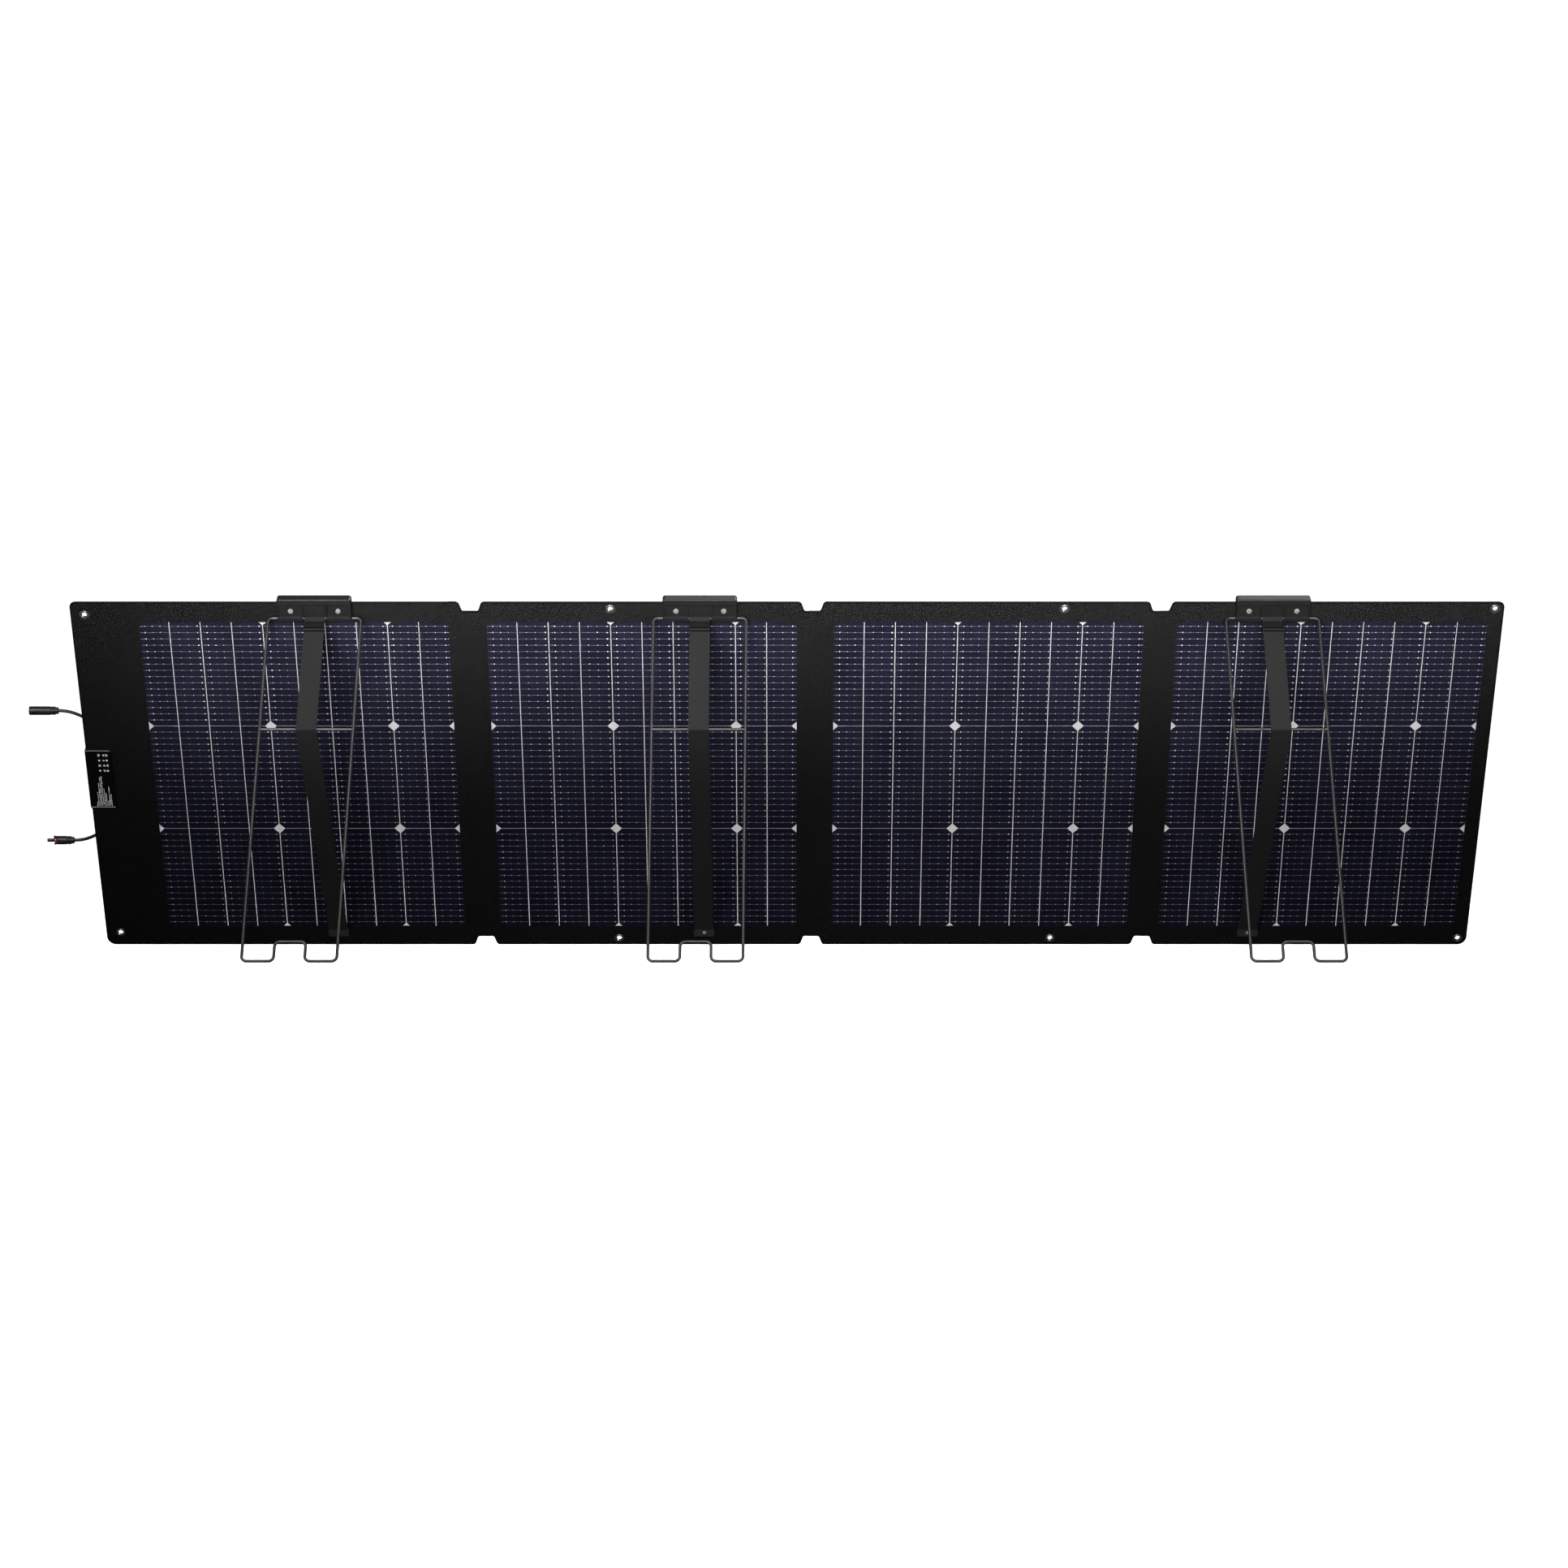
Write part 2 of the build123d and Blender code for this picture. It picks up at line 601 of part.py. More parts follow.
def make_socket_connector():
    """The upper connector, with a deep round mouth and two latch windows."""
    x, y = SOCKET_ROUTE[-1]
    body = along_connector(SOCKET_ROUTE, NUT_LENGTH, SOCKET_LENGTH, BODY_RADIUS)
    body = fillet(body.edges().filter_by(GeomType.CIRCLE), 0.7)
    body = grip_flats(SOCKET_ROUTE, body)
    body -= along_connector(SOCKET_ROUTE, SOCKET_LENGTH - SOCKET_DEPTH, SOCKET_LENGTH + 1, SOCKET_MOUTH)
    face = x - SOCKET_LENGTH
    for turn in (0, 180):
        side = Pos(0, y, CABLE_LEVEL) * Rot(turn, 0, 0)
        body -= side * block(face + 6, face + 13, -1.6, 1.6, SOCKET_MOUTH - 1, BODY_RADIUS + 1)
        body -= side * block(face - 1, face + 14, BODY_RADIUS - 1.2, BODY_RADIUS + 1, -0.7, 0.7)
    keep("socket_connector_body", body, on_cord=True)


def make_plug_connector():
    """The lower connector: a pin tube, two latch arms and a red seal ring."""
    x, y = PLUG_ROUTE[-1]
    front = NUT_LENGTH + PLUG_BODY_LENGTH
    body = along_connector(PLUG_ROUTE, NUT_LENGTH, front, BODY_RADIUS)
    body = fillet(body.edges().filter_by(GeomType.CIRCLE), 0.7)
    body = grip_flats(PLUG_ROUTE, body)
    body += along_connector(PLUG_ROUTE, front - 1, front + PIN_TUBE_LENGTH, PIN_TUBE_RADIUS)
    body -= along_connector(PLUG_ROUTE, front - 4, front + PIN_TUBE_LENGTH + 1, PIN_TUBE_BORE)
    face = x - front
    for turn in (0, 180):
        side = Pos(0, y, CABLE_LEVEL) * Rot(turn, 0, 0)
        body += side * block(face - ARM_LENGTH, face + 1, BODY_RADIUS - 2, BODY_RADIUS - 0.2, -2.2, 2.2)
        tip = block(face - ARM_LENGTH, face - ARM_LENGTH + 2, BODY_RADIUS - 0.9, BODY_RADIUS + 0.6, -2.2, 2.2)
        body += side * tip
    keep("plug_connector_body", body, on_cord=True)
    ring = along_connector(PLUG_ROUTE, front + 3, front + 3 + SEAL_LENGTH, SEAL_RADIUS)
    ring -= along_connector(PLUG_ROUTE, front, front + 8, PIN_TUBE_RADIUS)
    keep("plug_connector_seal_ring", ring, on_cord=True)


def make_connector_pieces():
    """The cable nuts, and the contacts inside the connectors."""
    keep("socket_connector_cable_nut", ribbed_nut(SOCKET_ROUTE), on_cord=True)
    keep("plug_connector_cable_nut", ribbed_nut(PLUG_ROUTE), on_cord=True)
    front = NUT_LENGTH + PLUG_BODY_LENGTH
    pin = along_connector(PLUG_ROUTE, front - 4, front + 12, PIN_TUBE_BORE)
    base = SOCKET_LENGTH - SOCKET_DEPTH
    tube = along_connector(SOCKET_ROUTE, base, base + 16, 2.6)
    tube -= along_connector(SOCKET_ROUTE, base + 4, base + 17, 1.8)
    keep("connector_contacts", [pin, tube], on_cord=True)


def build():
    """Make every piece, then centre the array over its footprint."""
    for number in range(1, 5):
        make_panel(number)
    for letter in SEAMS:
        make_seam(letter)
    for number, centre in STANDS.items():
        make_rear_bracket(number, centre)
        make_front_bracket(number, centre)
        make_screws(number, centre)
        make_wire_frame(number, centre)
        make_straps(number, centre)
    make_junction_box()
    make_cable("socket_cable", SOCKET_ROUTE)
    make_cable("plug_cable", PLUG_ROUTE)
    make_socket_connector()
    make_plug_connector()
    make_connector_pieces()
    body = [solid for name, solids in pieces.items() if name not in cord_pieces for solid in solids]
    box = Compound(body).bounding_box()
    return Pos(-(box.min.X + box.max.X) / 2, -(box.min.Y + box.max.Y) / 2, 0)


centring = build()
os.makedirs("parts", exist_ok=True)
for node, solids in pieces.items():
    export_step(centring * Compound(solids), f"parts/{node}.step")
print(len(pieces), "nodes; moved by", tuple(round(value, 3) for value in centring.position))
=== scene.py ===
"""The looks of a folding four-panel solar array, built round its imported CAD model.

Metres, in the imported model's frame. Most pieces are drawn in the array's own coordinates:
x across, as in the frame, y down the slope from the top edge, and z through the thickness,
towards the sun, from the middle of the panels. What is on a stand is drawn in the plane of
its wire: x across, y down the leg from the hinge rod, and z towards the array.
"""

import json
import random
from math import cos, inf, pi, radians, sin, sqrt, tan

import bpy
from mathutils import Matrix, Vector

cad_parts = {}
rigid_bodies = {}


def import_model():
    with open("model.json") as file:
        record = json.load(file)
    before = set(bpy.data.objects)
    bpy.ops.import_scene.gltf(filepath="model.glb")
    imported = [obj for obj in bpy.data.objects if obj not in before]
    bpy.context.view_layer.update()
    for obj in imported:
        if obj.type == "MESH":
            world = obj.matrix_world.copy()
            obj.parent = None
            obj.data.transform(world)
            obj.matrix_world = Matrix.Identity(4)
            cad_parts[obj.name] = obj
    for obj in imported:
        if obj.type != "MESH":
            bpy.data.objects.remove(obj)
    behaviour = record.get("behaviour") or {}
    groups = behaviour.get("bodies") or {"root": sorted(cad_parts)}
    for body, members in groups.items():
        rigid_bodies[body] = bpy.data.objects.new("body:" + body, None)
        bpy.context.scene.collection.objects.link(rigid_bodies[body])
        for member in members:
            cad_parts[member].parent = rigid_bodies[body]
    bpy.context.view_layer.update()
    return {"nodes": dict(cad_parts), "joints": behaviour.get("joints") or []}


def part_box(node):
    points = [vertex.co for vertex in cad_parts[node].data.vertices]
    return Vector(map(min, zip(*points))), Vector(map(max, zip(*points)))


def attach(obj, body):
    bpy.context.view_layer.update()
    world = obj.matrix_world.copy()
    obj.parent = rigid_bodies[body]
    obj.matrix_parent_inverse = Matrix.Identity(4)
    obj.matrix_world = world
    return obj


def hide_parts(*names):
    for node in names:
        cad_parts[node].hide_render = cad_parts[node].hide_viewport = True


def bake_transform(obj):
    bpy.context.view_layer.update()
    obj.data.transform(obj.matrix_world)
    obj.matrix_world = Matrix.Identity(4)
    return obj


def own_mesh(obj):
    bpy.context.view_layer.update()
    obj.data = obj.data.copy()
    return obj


for leftover in list(bpy.data.objects):
    bpy.data.objects.remove(leftover)
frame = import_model()

# Panels, cloth and seams
PANEL_HEIGHT = 0.618
HEM = 0.0022  # the smooth welded band round the cloth's edge
TOP_CORNER_RADIUS = 0.009
BOTTOM_CORNER_RADIUS = 0.014
FACE = 0.0015  # half the thickness of a panel
FILM = 0.0009  # half the thickness of its clear laminate
NOTCHES = (-0.47665, 0.03935, 0.56435)
NOTCH_MOUTH = 0.035
NOTCH_FLOOR = 0.0245
NOTCH_DEPTH = 0.016
NOTCH_FLOOR_RADIUS = 0.0035
NOTCH_MOUTH_RADIUS = 0.0065
BEND_HALF = 0.003  # of the cloth that bends, each side of a hinge line
WINDOW_CHAMFER = 0.0076
CLOTH_LAP = (0.0005, 0.0022)  # of the cloth over the outer cells, across and down the slope
FILM_LAP = (-0.002, -0.0028)  # the film and the milky sheet reach past the cells instead

# Cells
STRIPS = 10
ROWS = 3
STRIP_WIDTH = 0.0455
ROW_HEIGHT = 0.18375
CELL = 0.0002
WAFER_CORNER = 0.0082
DARK_EDGE = (0.0002, 0.0003)  # how far each strip reaches past its edges, across and down into the gaps, narrowing the light lines between strips
BUSBARS = 16
BUSBAR_PITCH = 0.0109
BUSBAR_WIDTH = 0.0005
BUSBAR_THICK = 0.00012
BUSBAR_END = 0.0004  # from the end of each busbar to the edge of its strip
SOLDER_REPEAT = 0.0935  # for each pair of strips
SOLDER_DROPS = (
    (-0.0421, 0.5), (-0.0381, 1.0), (-0.0266, 0.7), (-0.0150, 0.7), (-0.0017, 0.8),
    (0.0124, 0.7), (0.0260, 0.7), (0.0410, 1.0), (0.0452, 0.5),
)  # their places from the middle of the pair, and their sizes
SOLDER_LENGTH = 0.0025
SOLDER_BREADTH = 0.0019
SOLDER_PROUD = 0.0001  # of the busbar

# Eyelets, and the thin dark rings painted round them as their shadow
EYELET_BARREL = 0.0048
EYELET_PAINTED_SHADOW_RING = 0.0074
PAINTED_SHADOW_RING_THICK = 0.0002

# Stands and straps
LEG_TILT = radians(30.0)
STRAP_WIDTH = 0.0305
STRAP = 0.0012
ROD_WRAP = 0.0029  # from the rod's centre to the middle of the strap round it
CROSSBAR_DROP = 0.195
STRAP_OFF_CROSSBAR = 0.0026
STRAP_BEND = 0.0028  # from the crossbar to where the strap turns down
UPPER_STRAP_STRAIGHT = 0.029  # where the upper strap is one layer again, below the rod
STITCHED_END = (0.0066, 0.0125, 0.0188)  # down from the rod: its start, middle and end
END_FOLD = (0.0196, 0.0210, 0.0224)
END_FOLD_THICK = 0.0010
# dark bars painted as the shadow lines above and below the end fold
END_SHADOWS = ((0.0183, 0.0010), (0.0232, 0.0005))  # above and below the fold: place, half width
STITCH_ROWS = 6
STITCH_COLUMNS = 15
STITCH_TOP = 0.0084
STITCH_PITCH = (0.0018, 0.0016)
ANCHOR_STITCHES = 12
ANCHOR_STITCH_PITCH = 0.0025
RIVET_PROFILE = (
    (0.0001, -0.0030), (0.0018, -0.0029), (0.0028, -0.0024), (0.0031, -0.0015), (0.0014, -0.0014),
)  # its radius at each level above the array's face

# Junction box plate and its print, measured in from the plate's right and bottom edges
PLATE_FACE = -FACE - 0.0018
INK = 0.00005
COLUMN_REACHES = (0.020, 0.034, 0.010, 0.022, 0.030, 0.050, 0.052, 0.040, 0.024, 0.006)
COLUMN_START = 0.0062
COLUMN_PITCH = 0.0025
COLUMN_WIDTH = 0.0014
COLUMN_BOTTOM = 0.0042
MARK_INSETS = (0.0078, 0.0125, 0.0195)
MARK_ROWS = 4
MARK_TOP = 0.0085
MARK_PITCH = 0.0092

# Cables, by the routes of the CAD model
CABLE_DIAMETER = 0.005
CABLE_LEVEL = 0.010
SOCKET_ROUTE = (
    (-1.05715, 0.2544),
    (-1.05715, 0.2310),
    (-1.07165, 0.2104),
    (-1.09065, 0.1995),
    (-1.10685, 0.1950),
    (-1.11615, 0.1950),
)
PLUG_ROUTE = (
    (-1.05715, 0.3661),
    (-1.05715, 0.3940),
    (-1.07135, 0.4144),
    (-1.09005, 0.4249),
    (-1.10615, 0.4293),
    (-1.11515, 0.4293),
)

# Camera
CAMERA_LENS = 84.4
CAMERA_PLACE = (-0.0036, -5.528, 0.255)  # across, from the array's top edge, and up

ACROSS = Vector((1, 0, 0))
joints = {joint["name"]: joint for joint in frame["joints"]}
DOWN = Vector(joints["seam_a_inner_fold"]["axis"])
SUN = ACROSS.cross(DOWN)
SEAM_SIDES = {"a": ("outer", "inner"), "b": ("inner", "outer"), "c": ("inner", "outer")}
HINGES = {
    letter: [joints[f"seam_{letter}_{side}_fold"]["pos_m"][0] for side in sides]
    for letter, sides in SEAM_SIDES.items()
}
STANDS = (1, 2, 4)


def node_points(node):
    """The corners of a CAD node's mesh."""
    return [vertex.co for vertex in frame["nodes"][node].data.vertices]


def array_matrix():
    """From the array's own coordinates to the frame's."""
    points = node_points("panel_2_laminate")
    top = min(point.dot(DOWN) for point in points)
    middle = (min(point.dot(SUN) for point in points) + max(point.dot(SUN) for point in points)) / 2
    origin = DOWN * top + SUN * middle
    return Matrix.Translation(origin) @ Matrix((ACROSS, DOWN, SUN)).transposed().to_4x4()


ARRAY = array_matrix()


def at(x, y, z):
    """A point given in the array's own coordinates."""
    return ARRAY @ Vector((x, y, z))


def array_box(node):
    """The lowest and highest corners of a CAD node, in the array's own coordinates."""
    back = ARRAY.inverted()
    points = [back @ point for point in node_points(node)]
    low = Vector([min(point[axis] for point in points) for axis in range(3)])
    high = Vector([max(point[axis] for point in points) for axis in range(3)])
    return low, high


def stand_matrix(number):
    """From the plane of a stand's wire to the frame's coordinates."""
    low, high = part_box(f"stand_{number}_wire_frame")
    rod = Vector(joints[f"stand_{number}_fold"]["pos_m"])
    rod.x = (low.x + high.x) / 2
    leg = Vector((0, -sin(LEG_TILT), -cos(LEG_TILT)))
    return Matrix.Translation(rod) @ Matrix((ACROSS, leg, ACROSS.cross(leg))).transposed().to_4x4()


# ---------------------------------------------------------------- camera, light and floor

def make_camera():
    """A long lens behind the array, level, at half its height."""
    data = bpy.data.cameras.new("camera")
    data.lens = CAMERA_LENS
    data.sensor_width = 36.0
    camera = bpy.data.objects.new("camera", data)
    bpy.context.scene.collection.objects.link(camera)
    aside, back, up = CAMERA_PLACE
    camera.location = (aside, at(0, 0, 0).y + back, up)
    camera.rotation_euler = (radians(90), 0, 0)
    bpy.context.scene.camera = camera


def area_light(name, place, target, width, height, power, spread=180):
    """A soft box that points at a target, with its light spread through an angle."""
    data = bpy.data.lights.new(name, "AREA")
    data.shape = "RECTANGLE"
    data.size = width
    data.size_y = height
    data.energy = power
    data.spread = radians(spread)
    lamp = bpy.data.objects.new(name, data)
    bpy.context.scene.collection.objects.link(lamp)
    lamp.visible_camera = False
    lamp.location = place
    lamp.rotation_euler = (Vector(target) - Vector(place)).to_track_quat("-Z", "Y").to_euler()


def make_world():
    """White to the camera, and dim light on the object, with little from below."""
    world = bpy.data.worlds.new("studio")
    bpy.context.scene.world = world
    world.use_nodes = True
    tree = world.node_tree
    background = tree.nodes["Background"]
    parts = add_node(tree, "ShaderNodeSeparateXYZ")
    height = add_node(tree, "ShaderNodeMapRange", From_Min=-0.15, From_Max=0.15, To_Min=0.01, To_Max=0.12)
    seen = add_node(tree, "ShaderNodeLightPath").outputs["Is Camera Ray"]
    tree.links.new(add_node(tree, "ShaderNodeTexCoord").outputs["Generated"], parts.inputs["Vector"])
    tree.links.new(parts.outputs["Z"], height.inputs["Value"])
    brightness = combine(tree, seen, height.outputs["Result"], "ADD")
    tree.links.new(brightness, background.inputs["Strength"])
    background.inputs["Color"].default_value = (1, 1, 1, 1)


def make_studio():
    """A pale floor, and soft light from in front, from low in front, from above and on the sun side."""
    make_world()
    bpy.context.scene.view_settings.view_transform = "Standard"
    area_light("key_light", (-0.7, -2.0, 1.05), (-0.1, 0, 0.42), 2.4, 0.6, 26, 60)
    area_light("fill_light", (1.3, -2.2, 1.05), (0.4, 0, 0.42), 0.8, 0.5, 10, 60)
    area_light("floor_glow", (0.05, -1.2, 0.05), (0.15, 0, 0.66), 2.4, 0.2, 13, 42)
    area_light("top_light", (-0.2, -1.3, 2.3), (0, -0.15, 0.3), 2.0, 0.3, 8, 60)
    area_light("sun_side_light", (0.8, 3.0, 3.0), (0, 0.1, 0.3), 3.0, 1.5, 120)

    floor_mesh = bpy.data.meshes.new("floor")
    reach = 400.0
    corners = [(-reach, -reach, 0), (reach, -reach, 0), (reach, reach, 0), (-reach, reach, 0)]
    floor_mesh.from_pydata(corners, [], [(0, 1, 2, 3)])
    floor = bpy.data.objects.new("floor", floor_mesh)
    bpy.context.scene.collection.objects.link(floor)
    surface = plain_material("floor", grey(0.6), 0.9, specular=0.0)
    shader = surface.node_tree.nodes["Principled BSDF"]
    shader.inputs["Emission Color"].default_value = (1, 1, 1, 1)
    shader.inputs["Emission Strength"].default_value = 1.0
    floor_mesh.materials.append(surface)
    floor.visible_diffuse = False
    floor.visible_glossy = False


# ---------------------------------------------------------------- materials

def add_node(tree, kind, settings=(), **inputs):
    """A node with some of its settings and inputs filled in."""
    node = tree.nodes.new(kind)
    for name, value in dict(settings).items():
        setattr(node, name, value)
    for name, value in inputs.items():
        node.inputs[name.replace("_", " ")].default_value = value
    return node


def grey(level):
    """A neutral colour."""
    return (level, level, level)


def plain_material(name, colour, roughness, metallic=0.0, specular=0.5):
    """A Principled material to build on."""
    material = bpy.data.materials.new(name)
    material.use_nodes = True
    shader = material.node_tree.nodes["Principled BSDF"]
    shader.inputs["Base Color"].default_value = (*colour, 1)
    shader.inputs["Roughness"].default_value = roughness
    shader.inputs["Metallic"].default_value = metallic
    shader.inputs["Specular IOR Level"].default_value = specular
    return material


def surface_point(tree, drawn):
    """Where a texture is read: the piece's own drawing in metres, or its place in the frame."""
    if drawn:
        return add_node(tree, "ShaderNodeUVMap", {"uv_map": "drawing"}).outputs["UV"]
    return add_node(tree, "ShaderNodeTexCoord").outputs["Object"]


def noise(tree, point, scale, detail=2.0):
    """Noise between 0 and 1."""
    node = add_node(tree, "ShaderNodeTexNoise", Scale=scale, Detail=detail)
    tree.links.new(point, node.inputs["Vector"])
    return node.outputs["Fac"]


def waves(tree, point, pitch, direction):
    """Smooth stripes at a pitch in metres, square to X, Y or both."""
    if direction == "DIAGONAL":
        scale = 2 * pi / (10 * sqrt(2) * pitch)
    else:
        scale = 2 * pi / (20 * pitch)
    node = add_node(tree, "ShaderNodeTexWave", {"bands_direction": direction}, Scale=scale)
    tree.links.new(point, node.inputs["Vector"])
    return node.outputs["Fac"]


def combine(tree, first, second, operation="MULTIPLY"):
    """Two values put together."""
    node = add_node(tree, "ShaderNodeMath", {"operation": operation})
    for index, value in enumerate((first, second)):
        if isinstance(value, float):
            node.inputs[index].default_value = value
        else:
            tree.links.new(value, node.inputs[index])
    return node.outputs[0]


def tint(material, value, dark, light, low=0.3, high=0.7):
    """Colour a surface between two colours, by a value."""
    tree = material.node_tree
    ramp = add_node(tree, "ShaderNodeValToRGB")
    ramp.color_ramp.elements[0].position = low
    ramp.color_ramp.elements[0].color = (*dark, 1)
    ramp.color_ramp.elements[1].position = high
    ramp.color_ramp.elements[1].color = (*light, 1)
    tree.links.new(value, ramp.inputs["Fac"])
    tree.links.new(ramp.outputs["Color"], tree.nodes["Principled BSDF"].inputs["Base Color"])


def roughen(material, value, low, high):
    """Vary the roughness between two values."""
    tree = material.node_tree
    spread = add_node(tree, "ShaderNodeMapRange", To_Min=low, To_Max=high)
    tree.links.new(value, spread.inputs["Value"])
    tree.links.new(spread.outputs["Result"], tree.nodes["Principled BSDF"].inputs["Roughness"])


def emboss(material, value, depth, strength=1.0):
    """Raise a surface by a value, up to a depth in metres."""
    tree = material.node_tree
    bump = add_node(tree, "ShaderNodeBump", Strength=strength, Distance=depth)
    tree.links.new(value, bump.inputs["Height"])
    tree.links.new(bump.outputs["Normal"], tree.nodes["Principled BSDF"].inputs["Normal"])


def cloth_material():
    """Coated border cloth: a fine diagonal twill with a speckle, dark between the threads."""
    material = plain_material("border_cloth", grey(0.001), 0.6)
    tree = material.node_tree
    point = surface_point(tree, drawn=True)
    twill = waves(tree, point, 0.0020, "DIAGONAL")
    speckle = noise(tree, point, 700.0)
    weave = combine(tree, twill, speckle)
    tint(material, weave, grey(0.00005), grey(0.0006), 0.05, 0.6)
    sheen = add_node(tree, "ShaderNodeMapRange", From_Min=0.05, From_Max=0.6, To_Min=0.01, To_Max=0.36)
    tree.links.new(weave, sheen.inputs["Value"])
    shader = tree.nodes["Principled BSDF"]
    tree.links.new(sheen.outputs["Result"], shader.inputs["Specular IOR Level"])
    roughen(material, speckle, 0.45, 0.65)
    emboss(material, weave, 0.0004)
    return material


def hem_material():
    """The welded edge of the cloth, pressed smooth."""
    material = plain_material("welded_hem", grey(0.001), 0.5, specular=0.07)
    tree = material.node_tree
    point = surface_point(tree, drawn=True)
    grain = noise(tree, point, 500.0)
    tint(material, grain, grey(0.0002), grey(0.001))
    emboss(material, grain, 0.00008)
    return material


def cell_material():
    """Dark blue silicon under a film with a fine diagonal emboss."""
    material = plain_material("silicon_cell", (0.008, 0.008, 0.018), 0.5, specular=0.1)
    tree = material.node_tree
    point = surface_point(tree, drawn=True)
    fingers = waves(tree, point, 0.0016, "DIAGONAL")
    cloud = noise(tree, point, 14.0)
    tone = add_node(tree, "ShaderNodeAttribute", {"attribute_name": "tone"}).outputs["Fac"]
    mixed = combine(tree, combine(tree, fingers, 0.35), combine(tree, cloud, tone), "ADD")
    tint(material, mixed, (0.0017, 0.0017, 0.0048), (0.0058, 0.0058, 0.0138), 0.15, 0.85)
    roughen(material, cloud, 0.35, 0.55)
    emboss(material, fingers, 0.00002)
    return material


def metal_material(name, dark, light, roughness, grain_scale, metallic):
    """A metal with a fine grain in its colour, roughness and surface."""
    material = plain_material(name, light, roughness, metallic=metallic)
    tree = material.node_tree
    grain = noise(tree, surface_point(tree, drawn=False), grain_scale)
    tint(material, grain, dark, light)
    roughen(material, grain, roughness * 0.8, roughness * 1.3)
    emboss(material, grain, 0.00003)
    return material


def plastic_material(name, dark, light, roughness, grain_scale, depth, specular):
    """A moulded plastic or a paint, with a fine spark-eroded grain."""
    material = plain_material(name, light, roughness, specular=specular)
    tree = material.node_tree
    point = surface_point(tree, drawn=False)
    grain = noise(tree, point, grain_scale)
    wear = noise(tree, point, grain_scale / 25)
    tint(material, combine(tree, grain, wear, "ADD"), dark, light, 0.6, 1.4)
    roughen(material, grain, roughness * 0.85, roughness * 1.2)
    emboss(material, grain, depth)
    return material


def web_material(name, dark, light, specular):
    """Strap webbing: ribs along the strap, crossed by a fine plain weave."""
    material = plain_material(name, light, 0.7, specular=specular)
    tree = material.node_tree
    point = surface_point(tree, drawn=True)
    ribs = waves(tree, point, 0.0012, "X")
    rows = waves(tree, point, 0.0009, "Y")
    fuzz = noise(tree, point, 1200.0)
    weave = combine(tree, combine(tree, ribs, rows, "ADD"), combine(tree, fuzz, 0.6), "ADD")
    tint(material, weave, dark, light, 0.4, 1.8)
    emboss(material, weave, 0.00025)
    return material


def film_material():
    """Clear film: see-through, with a soft gloss that a faint emboss breaks up."""
    material = bpy.data.materials.new("clear_film")
    material.use_nodes = True
    tree = material.node_tree
    shader = tree.nodes["Principled BSDF"]
    shader.inputs["Base Color"].default_value = (0.006, 0.006, 0.012, 1)
    shader.inputs["Roughness"].default_value = 0.3
    shader.inputs["Specular IOR Level"].default_value = 0.22
    point = surface_point(tree, drawn=True)
    ripples = combine(tree, waves(tree, point, 0.0016, "DIAGONAL"), noise(tree, point, 120.0))
    emboss(material, ripples, 0.00004)
    clear = add_node(tree, "ShaderNodeBsdfTransparent")
    facing = add_node(tree, "ShaderNodeLayerWeight", Blend=0.25)
    share = add_node(tree, "ShaderNodeMapRange", To_Min=0.03, To_Max=0.5)
    mix = add_node(tree, "ShaderNodeMixShader")
    tree.links.new(facing.outputs["Fresnel"], share.inputs["Value"])
    tree.links.new(share.outputs["Result"], mix.inputs["Fac"])
    tree.links.new(clear.outputs["BSDF"], mix.inputs[1])
    tree.links.new(shader.outputs["BSDF"], mix.inputs[2])
    tree.links.new(mix.outputs["Shader"], tree.nodes["Material Output"].inputs["Surface"])
    return material


def backing_material():
    """The milky sheet that shows between the cells."""
    material = plain_material("milky_sheet", grey(0.7), 0.5)
    tree = material.node_tree
    cloud = noise(tree, surface_point(tree, drawn=True), 60.0)
    tint(material, cloud, grey(0.35), grey(0.41))
    tree.nodes["Principled BSDF"].inputs["Alpha"].default_value = 0.5
    return material


# Name, dark and light colour, roughness, grain scale, metallic
METALS = {
    "busbar": ("busbar", (0.08, 0.08, 0.095), (0.12, 0.12, 0.14), 0.5, 800.0, 0.2),
    "solder": ("solder", (0.48, 0.48, 0.49), (0.66, 0.66, 0.67), 0.45, 1500.0, 0.1),
    "steel": ("screw_steel", grey(0.08), grey(0.16), 0.5, 900.0, 0.5),
    "eyelet": ("eyelet_metal", grey(0.10), grey(0.22), 0.2, 700.0, 0.9),
    "copper": ("tinned_copper", (0.4, 0.38, 0.34), (0.66, 0.64, 0.6), 0.35, 600.0, 1.0),
}

# Name, dark and light colour, roughness, grain scale, grain depth, specular
PLASTICS = {
    "bracket": ("bracket_plastic", grey(0.002), grey(0.0045), 0.36, 1400.0, 0.00005, 0.13),
    "wire": ("black_wire", grey(0.004), grey(0.009), 0.34, 600.0, 0.00001, 0.25),
    "box": ("box_plastic", grey(0.0005), grey(0.0015), 0.16, 1500.0, 0.00001, 0.12),
    "connector": ("connector_plastic", grey(0.003), grey(0.007), 0.38, 1300.0, 0.00005, 0.14),
    "seal": ("red_seal", (0.22, 0.01, 0.01), (0.4, 0.02, 0.02), 0.45, 700.0, 0.00004, 0.5),
    "rubber": ("black_rubber", grey(0.006), grey(0.012), 0.7, 800.0, 0.00008, 0.5),
    "jacket": ("cable_jacket", grey(0.003), grey(0.006), 0.4, 900.0, 0.00004, 0.14),
    # a thin dark ring painted round each eyelet as its shadow
    "washer": ("eyelet_washer", grey(0.005), grey(0.010), 0.55, 900.0, 0.00006, 0.5),
}

# Name, dark and light colour, specular
WEBBING = {
    "web": ("strap_webbing", (0.0018, 0.0020, 0.0018), (0.0080, 0.0086, 0.0082), 0.08),
    "patch": ("anchor_webbing", grey(0.002), grey(0.008), 0.12),
    "tail": ("stitched_webbing", grey(0.0006), grey(0.003), 0.04),
}

